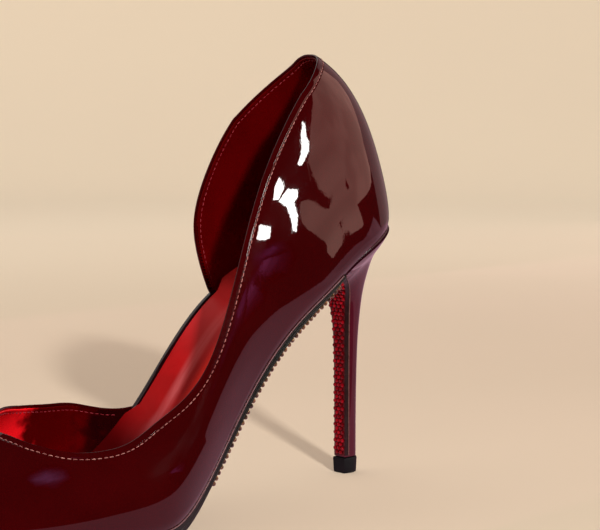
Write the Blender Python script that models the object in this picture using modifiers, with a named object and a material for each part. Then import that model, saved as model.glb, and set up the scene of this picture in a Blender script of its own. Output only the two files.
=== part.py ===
"""Stiletto pump, a left shoe whose inner side is cut away at the waist.

Metres, +Z up, floor at Z = 0. The toe points to -X and the outer side of the foot to -Y.

Every form is worked out on one last, in millimetres. On it, "along" is the distance forward of the
back of the heel seat, "across" is positive to the inner side of the foot, and "rise" is the distance
up a wall, which leans forward with the pitch of the heel. "Place" is the distance round the foot from
the back seam: it turns the heel first, then follows the side and at last turns the toe.
"""

import math
from collections import namedtuple

import bpy
import numpy as np

MM = 0.001
GAP = 0.3
OUTER, INNER = -1.0, 1.0

# Sizes of the last
TOE_END = 243.0
HEEL_TURN = 30.0
TOE_TURN = 226.0
TURN_PATH = 40.0
HEEL_ROUNDNESS = 2.3
TOE_HEIGHT_POWER = 0.6
DOME_POWER = 2.2
SWELL_SPAN = 0.95
FEATHER_TUCK = 1.0
TUCK_RISE = 4.0

# Sizes of the pieces
UPPER_WALL = 1.6
INSOLE_THICKNESS = 2.4
INSOLE_INSET = 2.3
BINDING_WIDTH = 2.9
BINDING_THICKNESS = 2.6
BINDING_ROUNDING = 0.9
SOLE_START = 43.0
END_HALF_WIDTH = 0.4
SOLE_WELT = 0.4
SOLE_CROWN = 0.9
STONE_HEIGHT = 1.6
WAIST_STONES_START = 45.0
WAIST_STONES_END = 117.0
WAIST_STONES_INSET = 0.4
TOP_PIECE_HEIGHT = 6.5
TOP_PIECE_PROUD = 0.4
TOP_PIECE_FLOOR = 0.2
SEAT_NECK_HEIGHT = 1.4
SEAT_NECK_DEPTH = 0.8
SEAT_RIM_EDGE = 0.3
SEAT_FADE = 6
BREAST_STONES_SHARE = 0.85
BREAST_STONES_TOP = 0.9
BREAST_STONES_START = 1.2

# The cut-away waist on the inner side, the throat and the end of the arch, as distances along the last
QUARTER_CORNER = 66.8
WING_CORNER = 106.5
INSET_RAMP = 5.0
THROAT = 189.0
ARCH_END = 155.0

# Mesh counts
WALL_ROWS = 13
HEEL_TURN_RIBS = 9
RIB_STEP = 5.0
THROAT_STEPS = (12.0, 8.0, 5.0, 2.8, 1.2, 0.3)
TOE_TURN_RIBS = 8
QUARTER_COLUMNS = 14
SLAB_STEP = 5.0
SLAB_COLUMNS = 6
HEEL_LEVELS = 22
HEEL_BACK_POINTS = 15
HEEL_SIDE_POINTS = 3
HEEL_BREAST_POINTS = 4

Section = namedtuple("Section", "along bottom arch outer inner ridge swell")
LAST = [
    Section(0.0, 104.5, 0.0, 22.0, 22.0, 95.0, 4.6),
    Section(15.0, 98.0, 0.0, 23.0, 23.0, 95.0, 4.6),
    Section(30.0, 91.0, 0.3, 23.8, 24.2, 95.0, 4.6),
    Section(50.0, 79.5, 2.2, 26.0, 25.4, 92.0, 4.0),
    Section(70.0, 67.4, 3.9, 27.0, 25.2, 86.0, 4.1),
    Section(90.0, 48.7, 4.5, 27.3, 24.2, 78.0, 5.0),
    Section(110.0, 25.5, 3.2, 30.2, 25.6, 70.0, 5.5),
    Section(125.0, 11.8, 1.7, 34.7, 30.2, 62.0, 4.4),
    Section(140.0, 4.6, 1.2, 39.0, 35.0, 55.0, 2.9),
    Section(155.0, 4.2, 0.0, 39.5, 38.0, 50.0, 2.2),
    Section(175.0, 4.4, 0.0, 36.0, 36.5, 41.5, 1.8),
    Section(200.0, 5.2, 0.0, 27.5, 28.5, 30.5, 1.4),
    Section(220.0, 6.4, 0.0, 18.5, 20.0, 22.0, 1.0),
    Section(243.0, 8.3, 0.0, 9.0, 10.0, 13.0, 0.6),
]

# How far a wall leans forward, in degrees
Lean = namedtuple("Lean", "along degrees")
LEANS = [Lean(0, 27), Lean(40, 26), Lean(80, 20), Lean(120, 9), Lean(160, 2), Lean(243, 0)]

# Centre line of the forefoot, which swings a little inwards
Swing = namedtuple("Swing", "along across")
SWINGS = [Swing(0, 0.0), Swing(120, 0.0), Swing(243, 2.5)]

# Back seam: its reach forward of the heel's back edge, before the lean
BackSeam = namedtuple("BackSeam", "rise reach")
BACK_SEAM = [
    BackSeam(0, 2.0),
    BackSeam(6, -0.2),
    BackSeam(14, -1.8),
    BackSeam(24, -2.9),
    BackSeam(38, -3.8),
    BackSeam(54, -2.8),
    BackSeam(66, 1.0),
    BackSeam(78, 8.5),
]

# Top edge of the outer side, from the back seam to the throat, where it meets the ridge
Topline = namedtuple("Topline", "place rise")
OUTER_TOPLINE = [
    Topline(0, 73.6),
    Topline(12, 73.9),
    Topline(26, 72.8),
    Topline(39, 69.2),
    Topline(63, 60.4),
    Topline(87, 47.9),
    Topline(106, 38.5),
    Topline(119, 35.6),
    Topline(136, 36.5),
    Topline(150, 36.2),
    Topline(166, 30.8),
    Topline(178, 29.2),
    Topline(188, 30.1),
    Topline(195, 32.4),
]

# Top edge of the vamp's inner wing, from its corner at the sole to the throat
WING_TOPLINE = [
    Topline(116.5, 1.5),
    Topline(120, 5.4),
    Topline(128, 15.6),
    Topline(136, 25.0),
    Topline(146, 31.8),
    Topline(157, 35.3),
    Topline(168, 36.8),
    Topline(182, 38.0),
    Topline(193, 37.2),
]

# Front edge of the inner heel quarter, from its corner at the sole up to the peak
QuarterEdge = namedtuple("QuarterEdge", "rise place")
QUARTER_EDGE = [
    QuarterEdge(0, 76.8),
    QuarterEdge(6, 76.4),
    QuarterEdge(19, 74.7),
    QuarterEdge(30, 71.0),
    QuarterEdge(42, 61.0),
    QuarterEdge(52, 48.6),
    QuarterEdge(61, 33.0),
    QuarterEdge(66, 21.0),
    QuarterEdge(70, 11.0),
    QuarterEdge(72.8, 3.5),
    QuarterEdge(73.6, 0.0),
]

Thickness = namedtuple("Thickness", "along depth")
SOLE_THICKNESS = [
    Thickness(43, 1.6),
    Thickness(60, 2.4),
    Thickness(100, 2.5),
    Thickness(120, 2.9),
    Thickness(138, 4.2),
    Thickness(182, 4.5),
    Thickness(243, 3.2),
]

# Heel, from the top piece up to the seat: each section is set by its back and front points seen
# from the side, by where it is widest, and by its half widths there and at the breast
HeelSection = namedtuple("HeelSection", "back back_height front front_height belly half_width breast")
HEEL = [
    HeelSection(12.3, 6.8, 20.0, 6.8, 16.0, 3.45, 2.85),
    HeelSection(12.2, 30.0, 20.1, 30.0, 16.0, 3.5, 2.85),
    HeelSection(11.7, 50.0, 20.3, 49.5, 16.0, 3.8, 3.0),
    HeelSection(10.9, 62.0, 20.7, 60.5, 16.2, 4.5, 3.4),
    HeelSection(9.8, 73.0, 21.5, 68.5, 16.6, 5.9, 4.4),
    HeelSection(8.2, 83.0, 23.8, 74.5, 17.4, 8.6, 6.8),
    HeelSection(5.8, 92.0, 29.0, 78.6, 20.0, 12.6, 11.0),
    HeelSection(3.4, 98.0, 36.0, 80.9, 25.0, 18.4, 17.2),
    HeelSection(1.9, 101.6, 42.0, 82.3, 30.0, 22.6, 23.4),
]

Finish = namedtuple("Finish", "colour roughness metallic")
BURGUNDY_PATENT = Finish((0.105, 0.003, 0.012), 0.06, 0.0)
RED_LEATHER = Finish((0.42, 0.006, 0.012), 0.32, 0.0)
DARK_PATENT = Finish((0.018, 0.002, 0.004), 0.12, 0.0)
BLACK_SOLE = Finish((0.012, 0.012, 0.012), 0.45, 0.0)
BLACK_RUBBER = Finish((0.010, 0.010, 0.011), 0.4, 0.0)
RED_STONES = Finish((0.36, 0.004, 0.014), 0.12, 0.0)
BRONZE_STONES = Finish((0.10, 0.055, 0.022), 0.15, 0.6)


def smooth(rows):
    """Curve through a table's first two columns that bends evenly from row to row."""
    at = np.array([row[0] for row in rows], float)
    value = np.array([row[1] for row in rows], float)
    step = np.diff(at)
    slope = np.diff(value) / step
    system = np.eye(len(at))
    change = np.zeros(len(at))
    for i in range(1, len(at) - 1):
        system[i, i - 1 : i + 2] = step[i - 1], 2 * (step[i - 1] + step[i]), step[i]
        change[i] = 6 * (slope[i] - slope[i - 1])
    bend = np.linalg.solve(system, change)

    def curve(where):
        where = np.clip(where, at[0], at[-1])
        i = np.clip(np.searchsorted(at, where) - 1, 0, len(step) - 1)
        size, behind, ahead = step[i], where - at[i], at[i + 1] - where
        arch = (bend[i] * ahead**3 + bend[i + 1] * behind**3) / (6 * size)
        first = (value[i] / size - bend[i] * size / 6) * ahead
        return arch + first + (value[i + 1] / size - bend[i + 1] * size / 6) * behind

    return curve


def column(rows, name):
    """Smooth curve of one named column over a table's first column."""
    return smooth([(row[0], getattr(row, name)) for row in rows])


bottom_height = column(LAST, "bottom")
arch_raise = column(LAST, "arch")
outer_width = column(LAST, "outer")
inner_width = column(LAST, "inner")
ridge_rise = column(LAST, "ridge")
swell_size = column(LAST, "swell")
lean_degrees = smooth(LEANS)
centre_line = smooth(SWINGS)
back_reach = smooth(BACK_SEAM)
outer_topline = smooth(OUTER_TOPLINE)
wing_topline = smooth(WING_TOPLINE)
quarter_edge = smooth(QUARTER_EDGE)
sole_thickness = smooth(SOLE_THICKNESS)


def feather_height(side, along, arch_share=1.0):
    """Height of the edge where the upper meets the sole, higher on the inner side of the arch."""
    back_slope = (LAST[1].bottom - LAST[0].bottom) / (LAST[1].along - LAST[0].along)
    behind = np.minimum(along, 0.0) * back_slope
    arched = side == INNER and along < ARCH_END
    return bottom_height(along) + behind + (arch_raise(along) * arch_share if arched else 0.0)


def side_width(side, along):
    """Half width of the last on one side of its centre line."""
    return outer_width(along) if side == OUTER else inner_width(along)


def nose(along, outset=0.0):
    """Share of its straight taper that the toe keeps where it rounds off to its end."""
    reach = np.clip((along - TOE_TURN) / (TOE_END + outset - TOE_TURN), 0.0, 1.0)
    return np.sqrt(1.0 - reach**2)


def ridge_height(along):
    """Rise of the ridge line above the feather edge, rounded down at the toe."""
    return ridge_rise(along) * nose(along) ** TOE_HEIGHT_POWER


def wall_width(side, along, rise):
    """Half width of the upper's outside at a rise above the feather edge, down to nothing at the ridge."""
    share = np.clip(rise / np.maximum(ridge_height(along), 1e-6), 0.0, 1.0)
    dome = side_width(side, along) * np.sqrt(1.0 - share**DOME_POWER)
    swell = swell_size(along) * np.sin(math.pi * np.clip(share / SWELL_SPAN, 0.0, 1.0))
    tuck = FEATHER_TUCK * np.clip(1.0 - rise / TUCK_RISE, 0.0, 1.0) ** 2
    return (dome + swell - tuck) * nose(along)


def feather_width(side, along, outset=0.0):
    """Half width of the sole's outline, moved outwards, which rounds off at the heel and at the toe."""
    if along >= TOE_TURN:
        straight = side_width(side, along) - FEATHER_TUCK + outset
        return float(straight * nose(along, outset))
    if along >= HEEL_TURN:
        return float(wall_width(side, along, 0.0)) + outset
    back = min((HEEL_TURN - along) / (HEEL_TURN - HEEL_BACK + outset), 1.0)
    widest = float(wall_width(side, HEEL_TURN, 0.0)) + outset
    return widest * (1.0 - back**HEEL_ROUNDNESS) ** (1 / HEEL_ROUNDNESS)


def place_of(along):
    """Distance round the foot of a section along its side."""
    return TURN_PATH + along - HEEL_TURN


HEEL_BACK = BACK_SEAM[0].reach
TOE_PLACE = place_of(TOE_TURN)
THROAT_PLACE = place_of(THROAT)


def along_of(place):
    """Section that a place lies in: all of the heel's turn belongs to its first one."""
    return float(np.clip(HEEL_TURN + place - TURN_PATH, HEEL_TURN, TOE_END))


def wall_point(side, place, rise):
    """A point on the upper's outside, in millimetres of the shoe's own frame."""
    along = along_of(place)
    width = float(wall_width(side, along, rise))
    turned = 1.0
    if place < TURN_PATH:
        angle = math.pi / 2 * place / TURN_PATH
        power = 2 / HEEL_ROUNDNESS
        along = HEEL_TURN - (HEEL_TURN - float(back_reach(rise))) * math.cos(angle) ** power
        turned = math.sin(angle) ** power
    width *= turned
    lean = math.radians(float(lean_degrees(along)))
    forward = along + rise * math.sin(lean)
    height = float(feather_height(side, along, turned)) + rise * math.cos(lean)
    return (-forward, float(centre_line(along)) + side * width, height)


def top_rise(side, place):
    """Rise of the top edge at a place: the topline behind the throat, the ridge in front of it."""
    if place >= THROAT_PLACE:
        return float(ridge_height(along_of(place)))
    table, curve = (OUTER_TOPLINE, outer_topline) if side == OUTER else (WING_TOPLINE, wing_topline)
    last = table[-1]
    if place <= last.place:
        return float(curve(place))
    share = (place - last.place) / (THROAT_PLACE - last.place)
    return last.rise + (float(ridge_height(THROAT)) - last.rise) * share


def row_rise(row, top, along):
    """Rise of one row of a wall, with the rows evenly turned round the dome up to its top edge."""
    ridge = float(ridge_height(along))
    if ridge <= 0.0:
        return 0.0
    full_turn = math.asin(min(1.0, top / ridge) ** (DOME_POWER / 2))
    return ridge * math.sin(full_turn * row / WALL_ROWS) ** (2 / DOME_POWER)


def rib_places(first):
    """Places of the upper's ribs from a first one to the toe, closer together at the throat."""
    places = [TURN_PATH * i / HEEL_TURN_RIBS for i in range(HEEL_TURN_RIBS)]
    start = max(first, TURN_PATH)
    slow = THROAT_PLACE - THROAT_STEPS[0]
    count = math.ceil((slow - start) / RIB_STEP)
    places += [start + (slow - start) * i / count for i in range(count)]
    places += [THROAT_PLACE - step for step in THROAT_STEPS]
    count = math.ceil((TOE_PLACE - THROAT_PLACE) / RIB_STEP)
    places += [THROAT_PLACE + (TOE_PLACE - THROAT_PLACE) * i / count for i in range(count)]
    turns = [math.sin(math.pi / 2 * i / TOE_TURN_RIBS) for i in range(TOE_TURN_RIBS + 1)]
    places += [TOE_PLACE + (TOE_END - TOE_TURN) * turn for turn in turns]
    return [place for place in places if place >= first]


class Skin:
    """Vertices and faces of one surface, where points at the same spot are shared."""

    def __init__(self):
        self.points = []
        self.faces = []
        self.known = {}

    def vertex(self, point):
        key = tuple(round(value, 4) for value in point)
        if key not in self.known:
            self.known[key] = len(self.points)
            self.points.append(point)
        return self.known[key]

    def face(self, corners):
        corners = [corner for i, corner in enumerate(corners) if corner != corners[i - 1]]
        if len(corners) > 2:
            self.faces.append(corners)

    def grid(self, rows, flip=False):
        """Quads between neighbouring rows of points, which become triangles where points coincide."""
        index = [[self.vertex(point) for point in row] for row in rows]
        for low, high in zip(index, index[1:]):
            for i in range(len(low) - 1):
                quad = [low[i], low[i + 1], high[i + 1], high[i]]
                self.face(quad[::-1] if flip else quad)


def wall_ribs(side, first):
    """Ribs of one side of the upper, each a row of points from the feather edge to its top."""
    ribs = []
    for place in rib_places(first):
        top, along = top_rise(side, place), along_of(place)
        rises = [row_rise(row, top, along) for row in range(WALL_ROWS + 1)]
        ribs.append([wall_point(side, place, rise) for rise in rises])
    return ribs


def quarter_rows():
    """Level rows of the inner heel quarter, each from the back seam to the quarter's front edge."""
    peak = OUTER_TOPLINE[0].rise
    rows = []
    for row in range(WALL_ROWS + 1):
        rise = row_rise(row, peak, HEEL_TURN)
        reach = float(quarter_edge(rise))
        columns = range(QUARTER_COLUMNS + 1)
        rows.append([wall_point(INNER, reach * i / QUARTER_COLUMNS, rise) for i in columns])
    return rows


def material(name, finish):
    """Material of one finish, made once."""
    made = bpy.data.materials.get(name) or bpy.data.materials.new(name)
    made.use_nodes = True
    shader = made.node_tree.nodes["Principled BSDF"]
    shader.inputs["Base Color"].default_value = (*finish.colour, 1.0)
    shader.inputs["Roughness"].default_value = finish.roughness
    shader.inputs["Metallic"].default_value = finish.metallic
    return made


def add_piece(name, skin, finish_name, finish, shoe, collection):
    """Object of one piece from a surface in millimetres, shaded smooth between its edges."""
    mesh = bpy.data.meshes.new(name)
    mesh.from_pydata([tuple(value * MM for value in point) for point in skin.points], [], skin.faces)
    mesh.materials.append(material(finish_name, finish))
    mesh.shade_smooth()
    mesh.set_sharp_from_angle(angle=math.radians(40))
    piece = bpy.data.objects.new(name, mesh)
    collection.objects.link(piece)
    piece.parent = shoe
    return piece


def upper_skin():
    """Outside of the upper: vamp, outer quarter and inner heel quarter in one sheet."""
    skin = Skin()
    skin.grid(wall_ribs(OUTER, 0.0))
    skin.grid(wall_ribs(INNER, place_of(WING_CORNER)), flip=True)
    skin.grid(quarter_rows())
    return skin


def slab(stations, edges, top, bottom, columns=SLAB_COLUMNS):
    """Closed plate: at each station it spans its two edges, between a top and a bottom height."""
    tops, bottoms = [], []
    for along in stations:
        first, last = edges(along)
        across = [first + (last - first) * i / columns for i in range(columns + 1)]
        tops.append([(-along, y, top(along, y)) for y in across])
        bottoms.append([(-along, y, bottom(along, y)) for y in across])
    skin = Skin()
    skin.grid(tops)
    skin.grid(bottoms, flip=True)
    skin.grid([[row[0] for row in bottoms], [row[0] for row in tops]], flip=True)
    skin.grid([[row[-1] for row in bottoms], [row[-1] for row in tops]])
    skin.grid([bottoms[0], tops[0]])
    skin.grid([bottoms[-1], tops[-1]], flip=True)
    return skin


def slab_stations(start, end):
    """Stations of a plate, crowded where its outline turns the heel or the toe."""
    stations = []
    if start < HEEL_TURN:
        turn = HEEL_TURN - start
        steps = HEEL_TURN_RIBS
        stations += [HEEL_TURN - turn * math.cos(math.pi / 2 * i / steps) for i in range(steps)]
    first = max(start, HEEL_TURN)
    last = min(end, TOE_TURN)
    count = math.ceil((last - first) / SLAB_STEP)
    stations += [first + (last - first) * i / count for i in range(count + 1)]
    if end > TOE_TURN:
        turn = end - TOE_TURN
        steps = TOE_TURN_RIBS
        stations += [TOE_TURN + turn * math.sin(math.pi / 2 * i / steps) for i in range(1, steps + 1)]
    return stations


def feather_edges(along, outset=0.0, inner_outset=None):
    """Across positions of the outer and the inner feather edge, moved outwards."""
    middle = float(centre_line(along))
    inner_outset = outset if inner_outset is None else inner_outset
    outer = max(END_HALF_WIDTH, feather_width(OUTER, along, outset))
    inner = max(END_HALF_WIDTH, feather_width(INNER, along, inner_outset))
    return middle - outer, middle + inner


def last_bottom(along, across):
    """Height of the last's underside, straight across from the outer to the inner feather edge."""
    outer, inner = feather_edges(along)
    share = np.clip((across - outer) / (inner - outer), 0.0, 1.0)
    low = float(feather_height(OUTER, along))
    return low + (float(feather_height(INNER, along)) - low) * share


def plumb(thickness, along):
    """Height that a plate of a given thickness takes up where the last's underside slopes."""
    step = 0.5
    slope = (float(bottom_height(along + step)) - float(bottom_height(along - step))) / (2 * step)
    return thickness * math.hypot(1.0, slope)


def insole_inset(along):
    """Inset of the insole's inner edge, which makes room for the binding at the open waist."""
    to_open = (along - (QUARTER_CORNER - INSET_RAMP)) / INSET_RAMP
    to_wing = (WING_CORNER + INSET_RAMP - along) / INSET_RAMP
    share = min(max(min(to_open, to_wing), 0.0), 1.0)
    return INSOLE_INSET + (BINDING_WIDTH + GAP - INSOLE_INSET) * share


def insole_skin():
    """Insole inside the upper, from the back of the heel to the toe."""

    def edges(along):
        return feather_edges(along, -INSOLE_INSET, -insole_inset(along))

    def top(along, across):
        return last_bottom(along, across) + plumb(INSOLE_THICKNESS, along)

    stations = slab_stations(HEEL_BACK + INSOLE_INSET, TOE_END - INSOLE_INSET)
    return slab(stations, edges, top, last_bottom)


def binding_skin():
    """Strip that finishes the insole's bare edge at the cut-away waist, rounded over outside."""
    start, end = QUARTER_CORNER + UPPER_WALL, WING_CORNER - GAP
    columns = 4

    def edges(along):
        inner = feather_edges(along)[1]
        return inner - BINDING_WIDTH, inner

    def top(along, across):
        share = (across - edges(along)[0]) / BINDING_WIDTH
        return last_bottom(along, across) + plumb(BINDING_THICKNESS - BINDING_ROUNDING * share**4, along)

    return slab(slab_stations(start, end), edges, top, last_bottom, columns)


def sole_top(along, across):
    """Top of the outsole, just under the insole and the upper's edge."""
    return last_bottom(along, across) - plumb(GAP, along)


def sole_bottom(along, across):
    """Underside of the outsole: crowned in the waist and flat on the floor under the ball."""
    outer, inner = feather_edges(along)
    middle = (outer + inner) / 2
    off_centre = min(1.0, abs(across - middle) / ((inner - outer) / 2))
    crown = SOLE_CROWN * (1.0 - off_centre**2)
    depth = plumb(float(sole_thickness(along)) + crown, along)
    return max(0.0, sole_top(along, across) - depth)


def outsole_skin():
    """Outsole from the heel's breast to the toe."""

    def edges(along):
        return feather_edges(along, SOLE_WELT)

    return slab(slab_stations(SOLE_START, TOE_END + SOLE_WELT), edges, sole_top, sole_bottom)


def waist_stones_skin():
    """Layer of stones set under the outsole's waist."""

    def edges(along):
        return feather_edges(along, -WAIST_STONES_INSET)

    def top(along, across):
        return sole_bottom(along, across) - plumb(GAP, along)

    def bottom(along, across):
        return top(along, across) - plumb(STONE_HEIGHT, along)

    return slab(slab_stations(WAIST_STONES_START, WAIST_STONES_END), edges, top, bottom)


def heel_section(level):
    """Heel section at a level from 0 at the top piece to 1 at the seat's rim."""
    where = level * (len(HEEL) - 1)
    values = [smooth(list(enumerate(column_values)))(where) for column_values in zip(*HEEL)]
    return HeelSection(*[float(value) for value in values])


def heel_ring(section, inset=0.0):
    """Closed outline of a heel section: a straight breast, two sides and a round back."""
    depth = section.front - section.back
    tilt = math.atan2(section.back_height - section.front_height, depth)
    half = section.half_width - inset
    breast = section.breast - inset
    front = section.front - inset
    back = section.back + inset
    flat = []
    for i in range(HEEL_SIDE_POINTS):
        share = i / HEEL_SIDE_POINTS
        along = front + (section.belly - front) * share
        flat.append((along, -(breast + (half - breast) * math.sin(math.pi / 2 * share))))
    for i in range(HEEL_BACK_POINTS):
        angle = math.pi * i / (HEEL_BACK_POINTS - 1)
        power = 2 / HEEL_ROUNDNESS
        reach = math.sin(angle) ** power
        width = math.copysign(abs(math.cos(angle)) ** power, -math.cos(angle))
        flat.append((section.belly - (section.belly - back) * reach, half * width))
    flat += [(along, -across) for along, across in reversed(flat[:HEEL_SIDE_POINTS])]
    for i in range(1, HEEL_BREAST_POINTS):
        flat.append((front, breast * (1 - 2 * i / HEEL_BREAST_POINTS)))
    ring = []
    for along, across in flat:
        height = section.front_height + (section.front - along) * math.tan(tilt)
        ring.append((-along, across, height))
    return ring


def loft(rings):
    """Closed body through rings of points, with a fan on its lowest and its highest ring."""
    skin = Skin()
    skin.grid([ring + ring[:1] for ring in rings])
    for ring, flip in ((rings[0], True), (rings[-1], False)):
        middle = skin.vertex(tuple(np.mean(ring, axis=0)))
        for i in range(len(ring)):
            corners = [skin.vertex(ring[i - 1]), skin.vertex(ring[i]), middle]
            skin.face(corners[::-1] if flip else corners)
    return skin


def seat_ring(ring, depth):
    """A ring moved up or down until it lies at a depth under the last."""
    return [(x, y, last_bottom(-x, y) - plumb(depth, -x)) for x, y, height in ring]


def heel_skin():
    """Heel: a slim stem that opens into the cup of the seat, with a rim and a neck under the upper."""
    seat = heel_ring(heel_section(1.0))
    rim = seat_ring(seat, GAP + SEAT_NECK_HEIGHT)
    lifts = [high[2] - low[2] for low, high in zip(seat, rim)]
    rings = []
    for i in range(HEEL_LEVELS + 1):
        level = i / HEEL_LEVELS
        ring = heel_ring(heel_section(level))
        rings.append([(x, y, z + lift * level**SEAT_FADE) for (x, y, z), lift in zip(ring, lifts)])
    neck = heel_ring(heel_section(1.0), SEAT_NECK_DEPTH)
    rings.append(seat_ring(neck, GAP + SEAT_NECK_HEIGHT - SEAT_RIM_EDGE))
    rings.append(seat_ring(neck, GAP))
    return loft(rings)


def breast_stones_skin():
    """Layer of stones set on the heel's breast."""
    back_rows, front_rows = [], []
    first = BREAST_STONES_START / HEEL_LEVELS
    levels = [first + (BREAST_STONES_TOP - first) * i / HEEL_LEVELS for i in range(HEEL_LEVELS + 1)]
    step = 0.01
    for level in levels:
        section = heel_section(level)
        low, high = heel_section(level - step), heel_section(level + step)
        rise = math.atan2(high.front_height - low.front_height, high.front - low.front)
        ahead, down = math.sin(rise), -math.cos(rise)
        half = BREAST_STONES_SHARE * section.breast
        across = [half * (1 - 2 * i / HEEL_BREAST_POINTS) for i in range(HEEL_BREAST_POINTS + 1)]
        for rows, off in ((back_rows, GAP), (front_rows, GAP + STONE_HEIGHT)):
            forward = section.front + off * ahead
            rows.append([(-forward, y, section.front_height + off * down) for y in across])
    skin = Skin()
    skin.grid(front_rows)
    skin.grid(back_rows, flip=True)
    for side, flip in ((0, False), (-1, True)):
        skin.grid([[row[side] for row in front_rows], [row[side] for row in back_rows]], flip)
    skin.grid([front_rows[0], back_rows[0]], flip=True)
    skin.grid([front_rows[-1], back_rows[-1]])
    return skin


def top_piece_skin():
    """Top piece under the heel, a little proud of it and smaller on the floor."""
    section = heel_section(0.0)
    top = section._replace(back_height=TOP_PIECE_HEIGHT, front_height=TOP_PIECE_HEIGHT)
    floor = section._replace(back_height=0.0, front_height=0.0)
    return loft([heel_ring(floor, -TOP_PIECE_FLOOR), heel_ring(top, -TOP_PIECE_PROUD)])


def add_wall(piece, thickness):
    """Gives a sheet its wall, on the inside of the surface."""
    wall = piece.modifiers.new("Wall", "SOLIDIFY")
    wall.thickness = thickness * MM
    wall.offset = -1.0
    wall.use_even_offset = True
    wall.use_quality_normals = True


def stand_on_origin(shoe, pieces):
    """Moves the shoe so that the middle of its box stands on the origin."""
    bpy.context.view_layer.update()
    graph = bpy.context.evaluated_depsgraph_get()
    corners = []
    for piece in pieces:
        evaluated = piece.evaluated_get(graph)
        corners += [evaluated.matrix_world @ vertex.co for vertex in evaluated.data.vertices]
    low, high = np.min(corners, axis=0), np.max(corners, axis=0)
    shoe.location = (-(low[0] + high[0]) / 2, -(low[1] + high[1]) / 2, 0.0)


def main():
    for old in list(bpy.data.objects):
        bpy.data.objects.remove(old)
    collection = bpy.data.collections.new("stiletto_pump")
    bpy.context.scene.collection.children.link(collection)
    shoe = bpy.data.objects.new("shoe_origin", None)
    collection.objects.link(shoe)

    pieces = [
        add_piece("upper", upper_skin(), "burgundy_patent", BURGUNDY_PATENT, shoe, collection),
        add_piece("insole", insole_skin(), "red_leather", RED_LEATHER, shoe, collection),
        add_piece("insole_binding", binding_skin(), "dark_patent", DARK_PATENT, shoe, collection),
        add_piece("outsole", outsole_skin(), "black_sole", BLACK_SOLE, shoe, collection),
        add_piece("waist_stones", waist_stones_skin(), "bronze_stones", BRONZE_STONES, shoe, collection),
        add_piece("heel", heel_skin(), "burgundy_patent", BURGUNDY_PATENT, shoe, collection),
        add_piece("breast_stones", breast_stones_skin(), "red_stones", RED_STONES, shoe, collection),
        add_piece("top_piece", top_piece_skin(), "black_rubber", BLACK_RUBBER, shoe, collection),
    ]
    add_wall(pieces[0], UPPER_WALL)
    stand_on_origin(shoe, pieces)


main()
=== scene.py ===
"""Looks of a left stiletto pump in dark red patent leather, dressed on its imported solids.

Forms are worked out in millimetres on the last that the solids share, and go into the frame when a
mesh is made. "Along" is the distance forward of the back of the heel seat, "across" is positive to
the inner side of the foot, "rise" is the distance up a wall, and "place" is the distance round the
foot from the back seam.
"""

import logging
import math
from collections.abc import Sequence
from dataclasses import dataclass, field
from enum import Enum

import bpy
import numpy as np
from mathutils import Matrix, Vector
from mathutils.bvhtree import BVHTree
from mathutils.geometry import delaunay_2d_cdt

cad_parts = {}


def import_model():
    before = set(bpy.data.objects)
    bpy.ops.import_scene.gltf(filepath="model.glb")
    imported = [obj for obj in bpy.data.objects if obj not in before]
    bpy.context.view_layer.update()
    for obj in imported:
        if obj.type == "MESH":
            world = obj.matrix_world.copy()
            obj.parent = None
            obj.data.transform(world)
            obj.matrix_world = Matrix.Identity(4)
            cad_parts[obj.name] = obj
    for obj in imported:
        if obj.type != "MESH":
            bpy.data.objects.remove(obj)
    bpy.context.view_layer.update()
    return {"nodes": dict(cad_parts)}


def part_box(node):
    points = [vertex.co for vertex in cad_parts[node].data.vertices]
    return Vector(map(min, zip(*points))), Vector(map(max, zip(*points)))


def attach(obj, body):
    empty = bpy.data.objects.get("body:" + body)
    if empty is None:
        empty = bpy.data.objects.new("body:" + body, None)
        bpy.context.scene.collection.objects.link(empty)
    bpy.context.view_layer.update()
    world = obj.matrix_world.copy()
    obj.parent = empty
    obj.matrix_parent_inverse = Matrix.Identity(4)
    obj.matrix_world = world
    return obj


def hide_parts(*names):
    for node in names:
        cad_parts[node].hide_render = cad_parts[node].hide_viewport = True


LOG = logging.getLogger("pump")
BODY = "root"
MARK = "mark"
MM = 0.001
GAP = 0.3
TINY = 1e-6
HALF_TURN = math.pi / 2
ACROSS = np.array((0.0, 1.0, 0.0))
UP = np.array((0.0, 0.0, 1.0))
NOISE_RANGE = (0.3, 0.7)
NOISE_CORE = (0.35, 0.65)

Array = np.ndarray
Colour = tuple[float, float, float]
Rows = tuple[tuple[float, ...], ...]
Material = bpy.types.Material
Socket = bpy.types.NodeSocket
Feed = Socket | float | Colour


class Side(Enum):
    """Side of the foot, as the sign of its across direction."""

    OUTER = -1.0
    INNER = 1.0


class Curve:
    """Natural cubic curve through the rows of a table."""

    def __init__(self, rows: Sequence[tuple[float, float]]) -> None:
        """Solves the curve's bends.

        Args:
            rows: Pairs of position and value, with rising positions.
        """
        self.at = np.array([row[0] for row in rows], float)
        self.value = np.array([row[1] for row in rows], float)
        self.step = np.diff(self.at)
        slope = np.diff(self.value) / self.step
        system = np.eye(len(self.at))
        change = np.zeros(len(self.at))
        for i in range(1, len(self.at) - 1):
            before, after = self.step[i - 1], self.step[i]
            system[i, i - 1 : i + 2] = before, 2 * (before + after), after
            change[i] = 6 * (slope[i] - slope[i - 1])
        self.bend = np.linalg.solve(system, change)

    def __call__(self, where: Array | float) -> Array:
        """Values of the curve.

        Args:
            where: Positions, held inside the table.

        Returns:
            One value for each position.
        """
        where = np.clip(where, self.at[0], self.at[-1])
        i = np.clip(np.searchsorted(self.at, where) - 1, 0, len(self.step) - 1)
        size, behind, ahead = self.step[i], where - self.at[i], self.at[i + 1] - where
        arch = (self.bend[i] * ahead**3 + self.bend[i + 1] * behind**3) / (6 * size)
        first = (self.value[i] / size - self.bend[i] * size / 6) * ahead
        return arch + first + (self.value[i + 1] / size - self.bend[i + 1] * size / 6) * behind


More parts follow.
